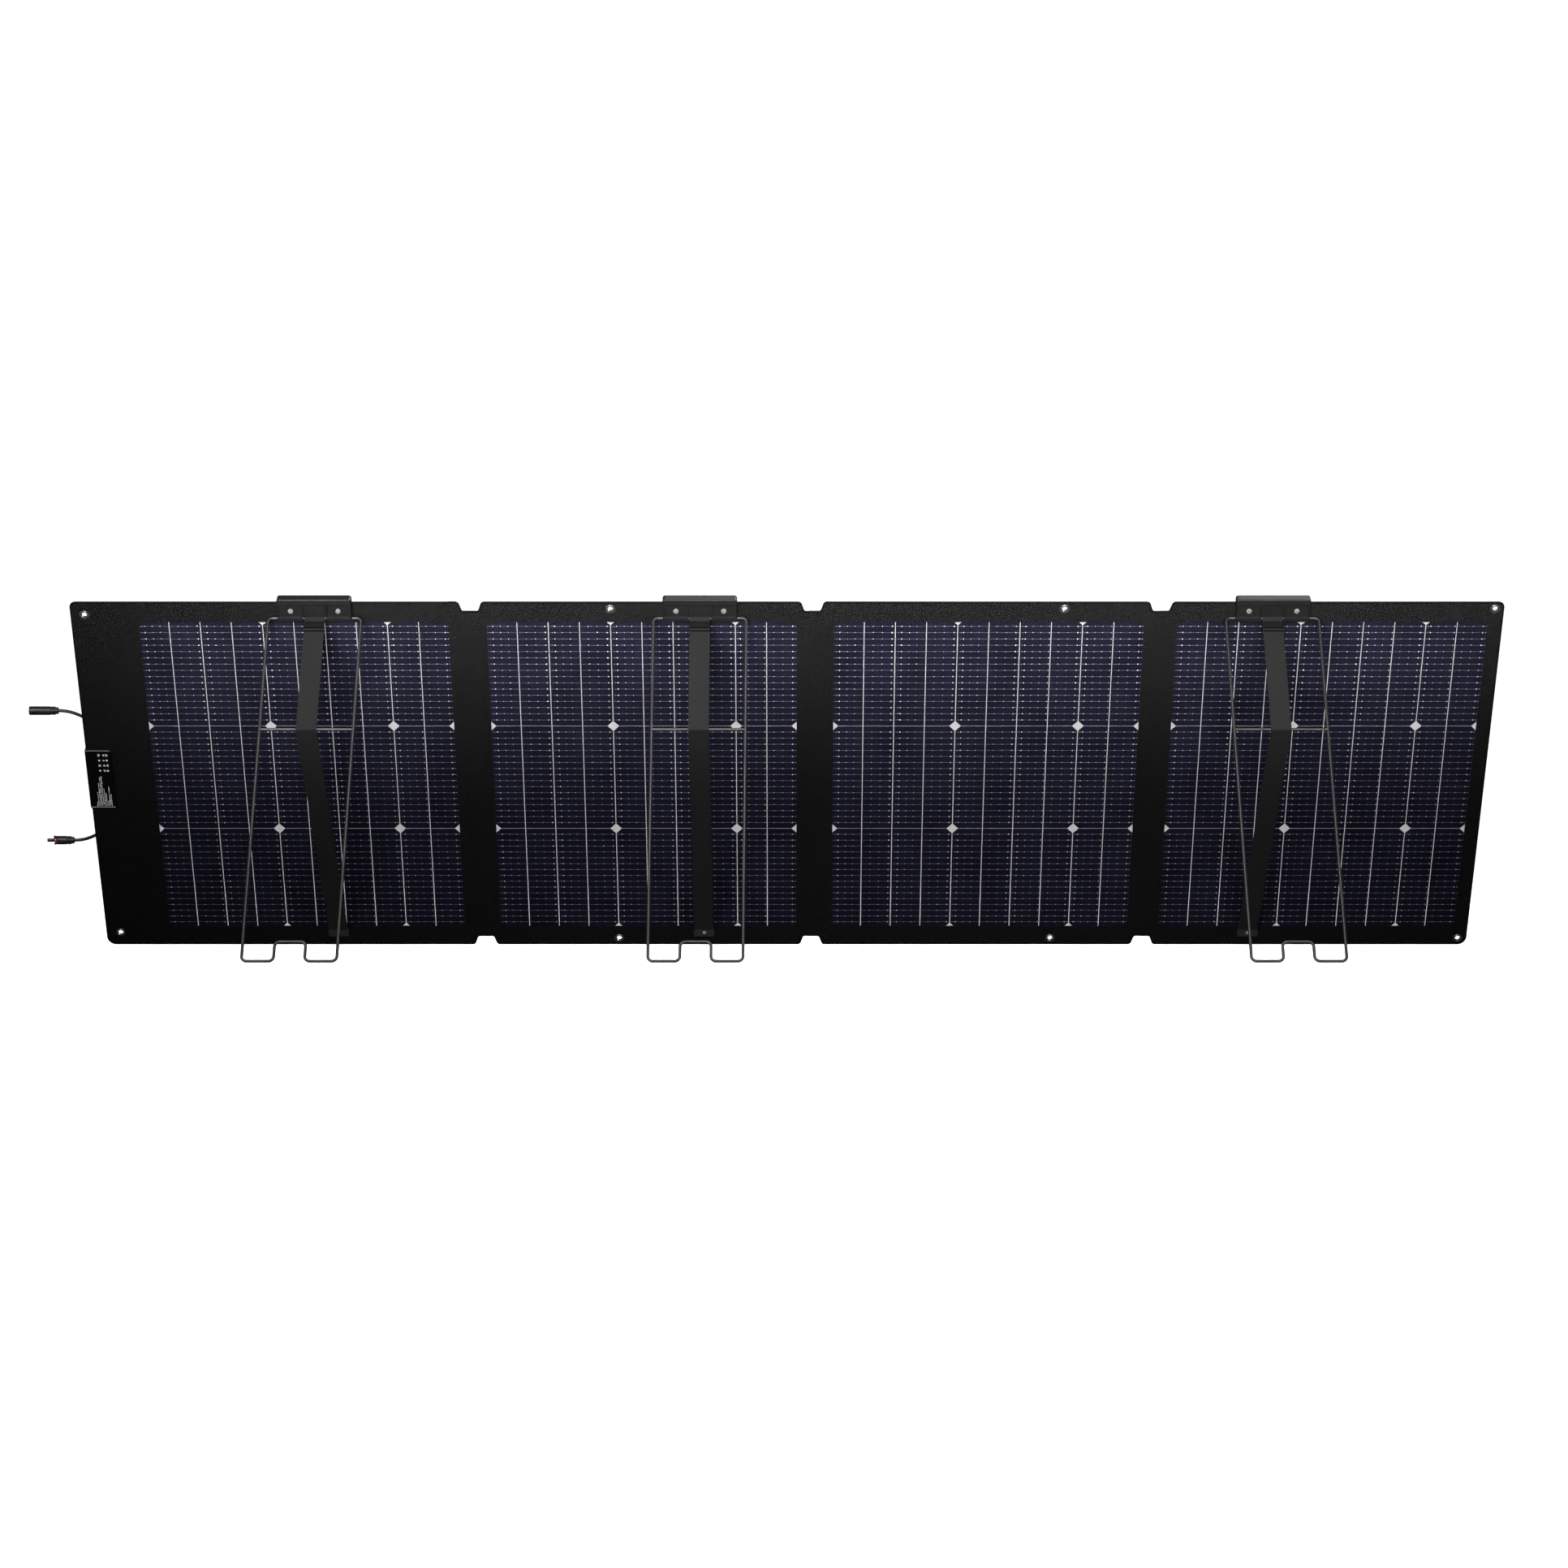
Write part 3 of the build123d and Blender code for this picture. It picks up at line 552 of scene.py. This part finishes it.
# Name, colour, roughness, metallic, specular
PLAIN = {
    "thread": ("thread", grey(0.014), 0.8, 0.0, 0.1),
    # a dark bar painted as the shadow line beside a strap's end fold
    "dark_thread": ("dark_thread", grey(0.0006), 0.8, 0.0, 0.02),
    "print": ("print", grey(0.30), 0.6, 0.0, 0.1),
    # a light bar painted as the highlight along the junction box plate's right edge
    "rim": ("worn_rim", grey(0.05), 0.4, 0.0, 0.3),
}

MATERIALS = {}


def make_materials():
    """Every material, by the name used below."""
    MATERIALS.update(
        cloth=cloth_material(),
        hem=hem_material(),
        cell=cell_material(),
        film=film_material(),
        backing=backing_material(),
    )
    families = (
        (metal_material, METALS),
        (plastic_material, PLASTICS),
        (web_material, WEBBING),
        (plain_material, PLAIN),
    )
    for make, family in families:
        for key, settings in family.items():
            MATERIALS[key] = make(*settings)


# ---------------------------------------------------------------- making meshes

def draw_map(mesh, drawing):
    """Keep where each vertex was drawn, in metres, as the map that textures read."""
    layer = mesh.uv_layers.new(name="drawing")
    for loop in mesh.loops:
        layer.data[loop.index].uv = drawing[loop.vertex_index]


def piece(name, mesh, materials, body=None, replaces=()):
    """Put a mesh in the scene as a piece that rides on a body."""
    made = bpy.data.objects.new(name, mesh)
    bpy.context.scene.collection.objects.link(made)
    for material in materials:
        mesh.materials.append(MATERIALS[material])
    if body:
        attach(made, body)
    if replaces:
        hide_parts(*replaces)
    return made


def slab(name, loops, low, high, bevel=0.0):
    """A flat mesh between two levels of the array, filled between closed loops of (x, y)."""
    curve = bpy.data.curves.new(name, "CURVE")
    curve.dimensions = "2D"
    curve.fill_mode = "BOTH"
    curve.extrude = (high - low) / 2 - bevel
    curve.bevel_depth = bevel
    curve.bevel_resolution = 1
    curve.offset = -bevel
    for loop in loops:
        spline = curve.splines.new("POLY")
        spline.points.add(len(loop) - 1)
        for point, (x, y) in zip(spline.points, loop):
            point.co = (x, y, 0, 1)
        spline.use_cyclic_u = True
    drawn = bpy.data.objects.new(name, curve)
    mesh = bpy.data.meshes.new_from_object(drawn)
    bpy.data.objects.remove(drawn)
    mesh.name = name
    for layer in list(mesh.uv_layers):
        mesh.uv_layers.remove(layer)
    draw_map(mesh, [(vertex.co.x, vertex.co.y) for vertex in mesh.vertices])
    mesh.transform(ARRAY @ Matrix.Translation((0, 0, (low + high) / 2)))
    return mesh


def loft(name, rings, matrix, drawing, slots=None, smooth=False):
    """A mesh through rings of points, with caps on its ends, in a matrix's coordinates."""
    count = len(rings[0])
    mesh = bpy.data.meshes.new(name)
    points = [matrix @ Vector(point) for ring in rings for point in ring]
    faces = []
    slot_of = []
    for row in range(len(rings) - 1):
        here, there = row * count, (row + 1) * count
        for column in range(count):
            after = (column + 1) % count
            faces.append((here + column, here + after, there + after, there + column))
            slot_of.append(slots[column] if slots else 0)
    faces.append(tuple(reversed(range(count))))
    faces.append(tuple(range((len(rings) - 1) * count, len(rings) * count)))
    slot_of += [0, 0]
    mesh.from_pydata(points, [], faces)
    for polygon, slot in zip(mesh.polygons, slot_of):
        polygon.material_index = slot
        polygon.use_smooth = smooth and len(polygon.vertices) == 4
    mesh.update()
    draw_map(mesh, [spot for ring in drawing for spot in ring])
    return mesh


class Gather:
    """Small shapes gathered into one mesh, in a matrix's coordinates."""

    def __init__(self, matrix):
        self.matrix = matrix
        self.points = []
        self.faces = []
        self.slots = []
        self.tones = []

    def add(self, points, faces, slot=0, tone=1.0):
        """Add points and the faces between them."""
        first = len(self.points)
        self.points += points
        self.faces += [tuple(first + index for index in face) for face in faces]
        self.slots += [slot] * len(faces)
        self.tones += [tone] * len(points)

    def prism(self, outline, low, high, slot=0, tone=1.0):
        """An outline of (x, y) points, raised between two levels."""
        count = len(outline)
        points = [(x, y, low) for x, y in outline] + [(x, y, high) for x, y in outline]
        faces = [tuple(reversed(range(count))), tuple(range(count, 2 * count))]
        faces += [(i, (i + 1) % count, count + (i + 1) % count, count + i) for i in range(count)]
        self.add(points, faces, slot, tone)

    def bar(self, x0, x1, y0, y1, low, high, slot=0):
        """A rectangular bar."""
        self.prism([(x0, y0), (x1, y0), (x1, y1), (x0, y1)], low, high, slot)

    def dome(self, x, y, length, width, base, top, slot=0, sides=6):
        """A low oval dome, as a drop of solder or a stitch."""
        turns = [2 * pi * step / sides for step in range(sides)]
        points = [(x + length / 2 * cos(turn), y + width / 2 * sin(turn), base) for turn in turns]
        points.append((x, y, top))
        faces = [tuple(reversed(range(sides)))]
        faces += [(i, (i + 1) % sides, sides) for i in range(sides)]
        self.add(points, faces, slot)

    def mesh(self, name):
        """The finished mesh, with its drawing and the tone of each shape."""
        made = bpy.data.meshes.new(name)
        made.from_pydata([self.matrix @ Vector(point) for point in self.points], [], self.faces)
        for polygon, slot in zip(made.polygons, self.slots):
            polygon.material_index = slot
        made.update()
        draw_map(made, [(x, y) for x, y, z in self.points])
        made.attributes.new("tone", "FLOAT", "POINT").data.foreach_set("value", self.tones)
        return made


# ---------------------------------------------------------------- the array's outline

def rounded(corners, steps=6):
    """A line through (x, y, radius) corners, each rounded to its radius."""
    line = [Vector(corners[0][:2])]
    for before, corner, after in zip(corners, corners[1:], corners[2:]):
        middle = Vector(corner[:2])
        arrive = (middle - Vector(before[:2])).normalized()
        leave = (Vector(after[:2]) - middle).normalized()
        turn = arrive.angle_signed(leave)
        reach = corner[2] * tan(abs(turn) / 2)
        start = middle - arrive * reach
        inward = (leave - arrive).normalized()
        centre = middle + inward * (corner[2] / cos(turn / 2))
        spoke = start - centre
        for step in range(steps + 1):
            line.append(centre + Matrix.Rotation(-turn * step / steps, 2) @ spoke)
    line.append(Vector(corners[-1][:2]))
    return line


def half_edge(corner_radius):
    """The array's edge: up half of its left side, along the top with its notches, and down again."""
    left, right = array_box("panel_1_laminate")[0].x, array_box("panel_4_laminate")[1].x
    corners = [(left, PANEL_HEIGHT / 2, 0), (left, 0, corner_radius)]
    for centre in NOTCHES:
        mouth, floor = NOTCH_MOUTH / 2, NOTCH_FLOOR / 2
        corners.append((centre - mouth, 0, NOTCH_MOUTH_RADIUS))
        corners.append((centre - floor, NOTCH_DEPTH, NOTCH_FLOOR_RADIUS))
        corners.append((centre + floor, NOTCH_DEPTH, NOTCH_FLOOR_RADIUS))
        corners.append((centre + mouth, 0, NOTCH_MOUTH_RADIUS))
    corners += [(right, 0, corner_radius), (right, PANEL_HEIGHT / 2, 0)]
    return rounded(corners)


def inside(line, distance):
    """A line moved to its right-hand side, into the panel."""
    moved = []
    for index, point in enumerate(line):
        along = line[min(index + 1, len(line) - 1)] - line[max(index - 1, 0)]
        moved.append(point + Vector((-along.y, along.x)).normalized() * distance)
    return moved


def clipped(line, left, right):
    """The part of a line between two places across the array."""
    part = []
    for here, there in zip(line, line[1:]):
        if left <= here.x <= right:
            part.append(here)
        crossings = [x for x in (left, right) if (here.x - x) * (there.x - x) < 0]
        for x in sorted(crossings):
            part.append(here.lerp(there, (x - here.x) / (there.x - here.x)))
    if left <= line[-1].x <= right:
        part.append(line[-1])
    return part


def mirrored(line):
    """A line for the top edge as it is on the bottom edge, taken the other way."""
    return [Vector((point.x, PANEL_HEIGHT - point.y)) for point in reversed(line)]


def height_at(line, x):
    """How far down a line is, at a place across the array."""
    for here, there in zip(line, line[1:]):
        if here.x <= x <= there.x and there.x > here.x:
            return here.y + (there.y - here.y) * (x - here.x) / (there.x - here.x)
    return 0.0


TOP_EDGE = half_edge(TOP_CORNER_RADIUS)
TOP_HEM = inside(TOP_EDGE, HEM)
BOTTOM_EDGE = half_edge(BOTTOM_CORNER_RADIUS)  # drawn as a top edge, to be mirrored
BOTTOM_HEM = inside(BOTTOM_EDGE, HEM)


def circle(x, y, radius, steps=32):
    """A round hole."""
    turns = [2 * pi * step / steps for step in range(steps)]
    return [(x + radius * cos(turn), y + radius * sin(turn)) for turn in turns]


def window_outline(number, lap):
    """An outline that laps over a panel's outer cells, across and down, with its corners cut off."""
    low, high = array_box(f"panel_{number}_cells")
    across, down = lap
    x0, x1 = low.x + across, high.x - across
    y0, y1 = low.y + down, high.y - down
    cut = WINDOW_CHAMFER
    return [
        (x0 + cut, y0), (x1 - cut, y0), (x1, y0 + cut), (x1, y1 - cut),
        (x1 - cut, y1), (x0 + cut, y1), (x0, y1 - cut), (x0, y0 + cut),
    ]


def eyelet_places(number):
    """The centres of a panel's two eyelets."""
    back = ARRAY.inverted()
    points = [back @ point for point in node_points(f"panel_{number}_eyelets")]
    places = []
    for half in (lambda y: y < PANEL_HEIGHT / 2, lambda y: y > PANEL_HEIGHT / 2):
        group = [point for point in points if half(point.y)]
        xs, ys = [point.x for point in group], [point.y for point in group]
        places.append(((min(xs) + max(xs)) / 2, (min(ys) + max(ys)) / 2))
    return places


def panel_ends(number):
    """Where a panel's own cloth stops, short of the hinge lines beside it."""
    left = -inf if number == 1 else HINGES["abc"[number - 2]][1] + BEND_HALF
    right = inf if number == 4 else HINGES["abc"[number - 1]][0] - BEND_HALF
    return left, right


# ---------------------------------------------------------------- panels

def make_cloth(number):
    """A panel's two cloth frames and the hem round their free edges."""
    left, right = panel_ends(number)
    top, top_hem, bottom, bottom_hem = [
        clipped(line, left, right) for line in (TOP_EDGE, TOP_HEM, BOTTOM_EDGE, BOTTOM_HEM)
    ]
    holes = [circle(x, y, EYELET_BARREL) for x, y in eyelet_places(number)]
    outline = [tuple(point) for point in top_hem + mirrored(bottom_hem)]
    body = f"panel_{number}"
    for side, skin, low, high in (("rear", "rear", -FACE, -0.00005), ("sun", "front", 0.00005, FACE)):
        name = f"{body}_{side}_cloth"
        mesh = slab(name, [outline, window_outline(number, CLOTH_LAP), *holes], low, high)
        piece(name, mesh, ["cloth"], body, [f"{body}_{skin}_skin"])
    bands = [top + top_hem[::-1], mirrored(bottom) + mirrored(bottom_hem)[::-1]]
    loops = [[tuple(point) for point in band] for band in bands]
    mesh = slab(f"{body}_hem", loops, -FACE + 0.00012, FACE - 0.00012, 0.0004)
    piece(f"{body}_hem", mesh, ["hem"], body)


def strip_outline(x0, x1, y0, y1, left_cut, right_cut):
    """A cell strip, with the wafer's cut corners on its left or right side."""
    cut = WAFER_CORNER
    outline = []
    outline += [(x0 + cut, y0)] if left_cut else [(x0, y0)]
    outline += [(x1 - cut, y0), (x1, y0 + cut)] if right_cut else [(x1, y0)]
    outline += [(x1, y1 - cut), (x1 - cut, y1)] if right_cut else [(x1, y1)]
    outline += [(x0 + cut, y1), (x0, y1 - cut), (x0, y0 + cut)] if left_cut else [(x0, y1)]
    return outline


def cell_places(number):
    """The column and the top left corner of each cell strip in a panel."""
    low, high = array_box(f"panel_{number}_cells")
    pitch = (high.x - low.x - STRIP_WIDTH) / (STRIPS - 1)
    drop = (high.y - low.y - ROW_HEIGHT) / (ROWS - 1)
    for row in range(ROWS):
        for column in range(STRIPS):
            yield column, low.x + column * pitch, low.y + row * drop


def make_cells(number):
    """Thirty strips cut from wafers: four strips to a wafer, and a half wafer at the right."""
    shapes = Gather(ARRAY)
    tones = random.Random(number)
    for column, x, y in cell_places(number):
        left_cut = column % 4 == 0
        right_cut = column % 4 == 3 or column == STRIPS - 1
        aside, beyond = DARK_EDGE
        outline = strip_outline(
            x - aside, x + STRIP_WIDTH + aside, y - beyond, y + ROW_HEIGHT + beyond, left_cut, right_cut,
        )
        shapes.prism(outline, -CELL, CELL, tone=tones.uniform(0.8, 1.2))
    body = f"panel_{number}"
    piece(f"{body}_cell_strips", shapes.mesh("cells"), ["cell"], body, [f"{body}_cells"])


def make_busbars(number, side):
    """Flat wires across each strip, with drops of solder, on one face of the cells."""
    shapes = Gather(ARRAY)
    way = {"rear": -1, "sun": 1}[side]
    low, high = array_box(f"panel_{number}_cells")
    middle = (low.x + high.x) / 2
    pairs = range(-(STRIPS // 4), STRIPS // 4 + 1)
    drops = [
        (middle + pair * SOLDER_REPEAT + place, size) for pair in pairs for place, size in SOLDER_DROPS
    ]
    margin = (ROW_HEIGHT - (BUSBARS - 1) * BUSBAR_PITCH) / 2
    surface = way * CELL
    raised = way * (CELL + BUSBAR_THICK)
    peak = raised + way * SOLDER_PROUD
    levels = sorted((surface, raised))
    half = BUSBAR_WIDTH / 2
    for _column, x, y in cell_places(number):
        for index in range(BUSBARS):
            line = y + margin + index * BUSBAR_PITCH
            ends = x + BUSBAR_END, x + STRIP_WIDTH - BUSBAR_END
            shapes.bar(*ends, line - half, line + half, *levels)
            for place, size in drops:
                length, breadth = SOLDER_LENGTH * size, SOLDER_BREADTH * size
                if x + length / 2 < place < x + STRIP_WIDTH - length / 2:
                    shapes.dome(place, line, length, breadth, surface, peak, slot=1)
    body = f"panel_{number}"
    name = f"{body}_{side}_busbars"
    piece(name, shapes.mesh(name), ["busbar", "solder"], body)


def make_films(number):
    """The clear films over both faces of the cells, and the milky sheet between the cells."""
    body = f"panel_{number}"
    opening = window_outline(number, FILM_LAP)
    for side, low, high in (("rear", -FILM, -FILM + 0.0003), ("sun", FILM - 0.0003, FILM)):
        name = f"{body}_{side}_film"
        film = piece(name, slab(name, [opening], low, high), ["film"], body)
        if side == "rear":
            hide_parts(f"{body}_laminate")
    name = f"{body}_milky_sheet"
    piece(name, slab(name, [opening], -0.00003, 0.00003), ["backing"], body)


def make_painted_shadow_rings(number):
    """A thin dark ring under each eyelet, on both faces, painted as the shadow round the eyelet."""
    body = f"panel_{number}"
    levels = (("rear", -FACE - PAINTED_SHADOW_RING_THICK, -FACE), ("sun", FACE, FACE + PAINTED_SHADOW_RING_THICK))
    for side, low, high in levels:
        loops = []
        for x, y in eyelet_places(number):
            loops += [circle(x, y, EYELET_PAINTED_SHADOW_RING), circle(x, y, EYELET_BARREL)]
        name = f"{body}_{side}_eyelet_washers"
        piece(name, slab(name, loops, low, high), ["washer"], body)


# ---------------------------------------------------------------- seams

def seam_ring(x):
    """The cloth's section at a place across the array, with its hems."""
    top, top_hem = height_at(TOP_EDGE, x), height_at(TOP_HEM, x)
    downs = [top, top_hem, PANEL_HEIGHT - top_hem, PANEL_HEIGHT - top]
    return [(x, y, -FACE) for y in downs] + [(x, y, FACE) for y in reversed(downs)]


def seam_piece(name, left, right, columns):
    """Seam cloth between two places across the array, hems and all."""
    places = [left + (right - left) * column / columns for column in range(columns + 1)]
    rings = [seam_ring(x) for x in places]
    drawing = [[(x, y) for x, y, z in ring] for ring in rings]
    mesh = loft(name, rings, ARRAY, drawing, slots=[1, 0, 1, 1, 1, 0, 1, 1])
    return piece(name, mesh, ["cloth", "hem"])


def make_seam(letter):
    """The cloth of one seam: its middle, which rides on the seam, and the two stretches at its hinge
    lines, which are left in place and do not bend.
    """
    left, right = HINGES[letter]
    number = "abc".index(letter) + 1
    seam = f"seam_{letter}"
    middle = seam_piece(f"{seam}_middle", left + BEND_HALF, right - BEND_HALF, 24)
    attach(middle, seam)
    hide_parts(f"{seam}_cloth")
    for x, way, panel in ((left, -1, number), (right, 1, number + 1)):
        bend = seam_piece(f"{seam}_bend_to_panel_{panel}", x - BEND_HALF, x + BEND_HALF, 12)
        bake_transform(bend)


# ---------------------------------------------------------------- straps

def strap_mesh(name, matrix, line, thickness=STRAP):
    """A strap of rounded section along a line of (y, z) points in its side view."""
    half, edge, round_off = STRAP_WIDTH / 2, thickness / 2, thickness * 0.35
    section = [
        (-half + round_off, -edge), (half - round_off, -edge),
        (half, -edge + round_off), (half, edge - round_off),
        (half - round_off, edge), (-half + round_off, edge),
        (-half, edge - round_off), (-half, -edge + round_off),
    ]
    rings, drawing = [], []
    travelled = 0.0
    for index, point in enumerate(line):
        before, after = line[max(index - 1, 0)], line[min(index + 1, len(line) - 1)]
        along = (after - before).normalized()
        out = Vector((-along.y, along.x))
        travelled += (point - before).length
        ring = [(x, *(point + out * depth)) for x, depth in section]
        rings.append(ring)
        drawing.append([(x, travelled) for x, depth in section])
    return loft(name, rings, matrix, drawing)


def curve_points(points, per_run=8):
    """A smooth line through points, rounding each corner a little."""
    line = [points[0]]
    for before, corner, after in zip(points, points[1:], points[2:]):
        start, end = corner.lerp(before, 0.3), corner.lerp(after, 0.3)
        for step in range(per_run + 1):
            share = step / per_run
            line.append(start.lerp(corner, share).lerp(corner.lerp(end, share), share))
    line.append(points[-1])
    return line


def make_upper_strap(number):
    """The strap from its stitched end in front of the rod, round the rod, and down to the crossbar."""
    stand = stand_matrix(number)
    body, slot = f"stand_{number}", "strap_webbing"
    layer = STRAP / 2 + 0.00005
    near, middle, far = STITCHED_END
    tail = [Vector((far, -layer - 0.0002)), Vector((middle, -layer)), Vector((near, -layer - 0.0006))]
    wrap = [
        Vector((ROD_WRAP * cos(turn), ROD_WRAP * sin(turn)))
        for turn in (radians(-60 - 20 * step) for step in range(13))
    ]
    start = Vector((UPPER_STRAP_STRAIGHT, layer * 0.6))
    end = Vector((CROSSBAR_DROP, -STRAP_OFF_CROSSBAR))
    line = [tail[-1], *wrap, Vector((0.007, layer + 0.0006)), Vector((0.014, layer)), start]
    line += [start.lerp(end, step / 12) for step in range(1, 13)]
    line.append(end + Vector((STRAP_BEND, 0)))
    name = f"{body}_strap_upper_web"
    piece(name, strap_mesh(name, stand, line), ["web"], body, [f"{body}_strap_upper"])
    name = f"{body}_strap_stitched_end"
    piece(name, strap_mesh(name, stand, tail), ["tail"], body)

    fold_line = [
        Vector((place, -layer * rise)) for place, rise in zip(END_FOLD, (2.2, 2.6, 1.8))
    ]
    name = f"{body}_strap_end_fold"
    mesh = strap_mesh(name, stand, curve_points(fold_line), thickness=END_FOLD_THICK)
    piece(name, mesh, ["web"], body)

    stitches = Gather(stand)
    level = -layer - STRAP / 2
    across, down = STITCH_PITCH
    for row in range(STITCH_ROWS):
        for column in range(STITCH_COLUMNS):
            x = (column - STITCH_COLUMNS // 2) * across + (row % 2) * 0.0005
            y = STITCH_TOP + row * down
            stitches.dome(x, y, 0.0010, 0.0007, level + 0.0002, level - 0.0009)
    reach = STRAP_WIDTH / 2 - 0.0004
    # Dark bars above and below the fold: painted shadow lines, not stitches.
    for y, half in END_SHADOWS:
        stitches.bar(-reach, reach, y - half, y + half, level - 0.0003, level + 0.0012, slot=1)
    name = f"{body}_strap_stitching_and_painted_shadows"
    piece(name, stitches.mesh(name), ["thread", "dark_thread"], body)


def make_lower_strap(number):
    """The strap from the crossbar down to the array's foot, with a slight sag, riding on the panel; it
    keeps this shape when the stand is folded.
    """
    stand = stand_matrix(number)
    middle = stand.translation.x
    turn = Vector((0, CROSSBAR_DROP + STRAP_BEND, -STRAP_OFF_CROSSBAR + 0.0001))
    bend = ARRAY.inverted() @ stand @ turn
    low, high = array_box(f"stand_{number}_strap_anchor")
    start = Vector((bend.y, bend.z))
    end = Vector((low.y + 0.002, -FACE - STRAP / 2 - 0.0001))
    line = [start.lerp(end, step / 24) for step in range(25)]
    for step, point in enumerate(line):
        point.y += 0.0012 * sin(pi * step / 24)
    line.append(Vector((low.y + 0.006, end.y)))
    name = f"stand_{number}_strap_lower_web"
    mesh = strap_mesh(name, ARRAY @ Matrix.Translation((middle, 0, 0)), line)
    body = f"panel_{number}"
    made = piece(name, mesh, ["web"], body, [f"stand_{number}_strap_lower"])
    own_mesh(made)
    make_anchor(number, middle, low.y, high.y)


def make_anchor(number, middle, top, bottom):
    """The patch that holds a strap's foot, with its stitches and its rivet."""
    body = f"panel_{number}"
    half = STRAP_WIDTH / 2 + 0.0008
    left, right = middle - half, middle + half
    corners = [(left, top), (right, top), (right, bottom), (left, bottom)]
    name = f"stand_{number}_anchor_patch"
    mesh = slab(name, [corners], -FACE - 0.0015, -FACE, 0.0004)
    piece(name, mesh, ["patch"], body, [f"stand_{number}_strap_anchor"])

    stitches = Gather(ARRAY)
    for y in (top + 0.0022, bottom - 0.0022):
        for step in range(ANCHOR_STITCHES):
            x = middle + (step - (ANCHOR_STITCHES - 1) / 2) * ANCHOR_STITCH_PITCH
            stitches.dome(x, y, 0.0019, 0.0007, -FACE - 0.0014, -FACE - 0.0018)
    name = f"stand_{number}_anchor_stitching"
    piece(name, stitches.mesh(name), ["thread"], body)

    centre = (top + bottom) / 2
    rings, drawing = [], []
    for radius, level in RIVET_PROFILE:
        ring = [(x, y, -FACE + level) for x, y in circle(middle, centre, radius, 24)]
        rings.append(ring)
        drawing.append([(x, y) for x, y, z in ring])
    name = f"stand_{number}_anchor_rivet"
    mesh = loft(name, rings, ARRAY, drawing, smooth=True)
    piece(name, mesh, ["steel"], body)


# ---------------------------------------------------------------- junction box and cables

def make_label():
    """Generic print on the junction box's plate: small blank marks above columns of blank bars, and a
    light bar painted as a highlight along the plate's right edge.
    """
    low, high = array_box("junction_box_rear_plate")
    levels = PLATE_FACE - INK, PLATE_FACE
    shapes = Gather(ARRAY)
    marks = random.Random(7)
    bottom = high.y - COLUMN_BOTTOM
    for column, reach in enumerate(COLUMN_REACHES):
        right = high.x - COLUMN_START - column * COLUMN_PITCH
        y = bottom
        while y > bottom - reach:
            run = marks.uniform(0.0008, 0.0045)
            inset = marks.uniform(0.0, 0.0006)
            shapes.bar(right - COLUMN_WIDTH, right - inset, y - run, y, *levels)
            y -= run + 0.0009
    for row in range(MARK_ROWS):
        for column, inset in enumerate(MARK_INSETS):
            cx, cy = high.x - inset, low.y + MARK_TOP + row * MARK_PITCH
            if (row + column) % 2:
                shapes.prism(circle(cx, cy, 0.0016, 12), *levels)
                continue
            for x in (cx - 0.0012, cx, cx + 0.0012):
                tall = marks.uniform(0.0008, 0.0024)
                shapes.bar(x - 0.0004, x + 0.0004, cy - tall, cy + tall, *levels)
    # A light bar down the plate's right edge: a painted highlight on its rim.
    shapes.bar(high.x - 0.0016, high.x - 0.0007, low.y + 0.002, high.y - 0.002, *levels, slot=1)
    name = "junction_box_print"
    piece(name, shapes.mesh(name), ["print", "rim"], "panel_1")


def make_cable(name, route):
    """A short stiff cable from its gland to its connector, as a smooth tube along its route."""
    curve = bpy.data.curves.new(name, "CURVE")
    curve.dimensions = "3D"
    curve.bevel_depth = CABLE_DIAMETER / 2
    curve.bevel_resolution = 6
    curve.resolution_u = 16
    curve.use_fill_caps = True
    spline = curve.splines.new("NURBS")
    spline.points.add(len(route) - 1)
    for point, (x, y) in zip(spline.points, route):
        point.co = (*at(x, y, CABLE_LEVEL), 1)
    spline.order_u = 3
    spline.use_endpoint_u = True
    curve.materials.append(MATERIALS["jacket"])
    cable = bpy.data.objects.new(f"{name}_flex", curve)
    bpy.context.scene.collection.objects.link(cable)
    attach(cable, "panel_1")
    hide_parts(name)


# ---------------------------------------------------------------- carried-over CAD nodes

CAD_FINISH = {
    "_eyelets": "eyelet",
    "_rear_bracket": "bracket",
    "_front_bracket": "bracket",
    "_screws": "steel",
    "_wire_frame": "wire",
    "_bus_ribbons": "copper",
    "_gasket": "rubber",
    "_rear_plate": "box",
    "_housing": "box",
    "_cable_glands": "rubber",
    "_diodes": "copper",
    "_contacts": "copper",
    "_connector_body": "connector",
    "_cable_nut": "connector",
    "_seal_ring": "seal",
}


def finish_cad_nodes():
    """Give each CAD node that shows its own material."""
    for name, node in frame["nodes"].items():
        for ending, material in CAD_FINISH.items():
            if name.endswith(ending):
                node.material_slots[0].material = MATERIALS[material]


make_materials()
make_camera()
for connector, cable_route in (("socket", SOCKET_ROUTE), ("plug", PLUG_ROUTE)):
    make_cable(f"{connector}_cable", cable_route)
make_studio()
for panel_number in range(1, 5):
    make_cloth(panel_number)
    make_cells(panel_number)
    make_busbars(panel_number, "rear")
    make_busbars(panel_number, "sun")
    make_films(panel_number)
    make_painted_shadow_rings(panel_number)
for seam_letter in HINGES:
    make_seam(seam_letter)
for stand_number in STANDS:
    make_upper_strap(stand_number)
    make_lower_strap(stand_number)
make_label()
finish_cad_nodes()
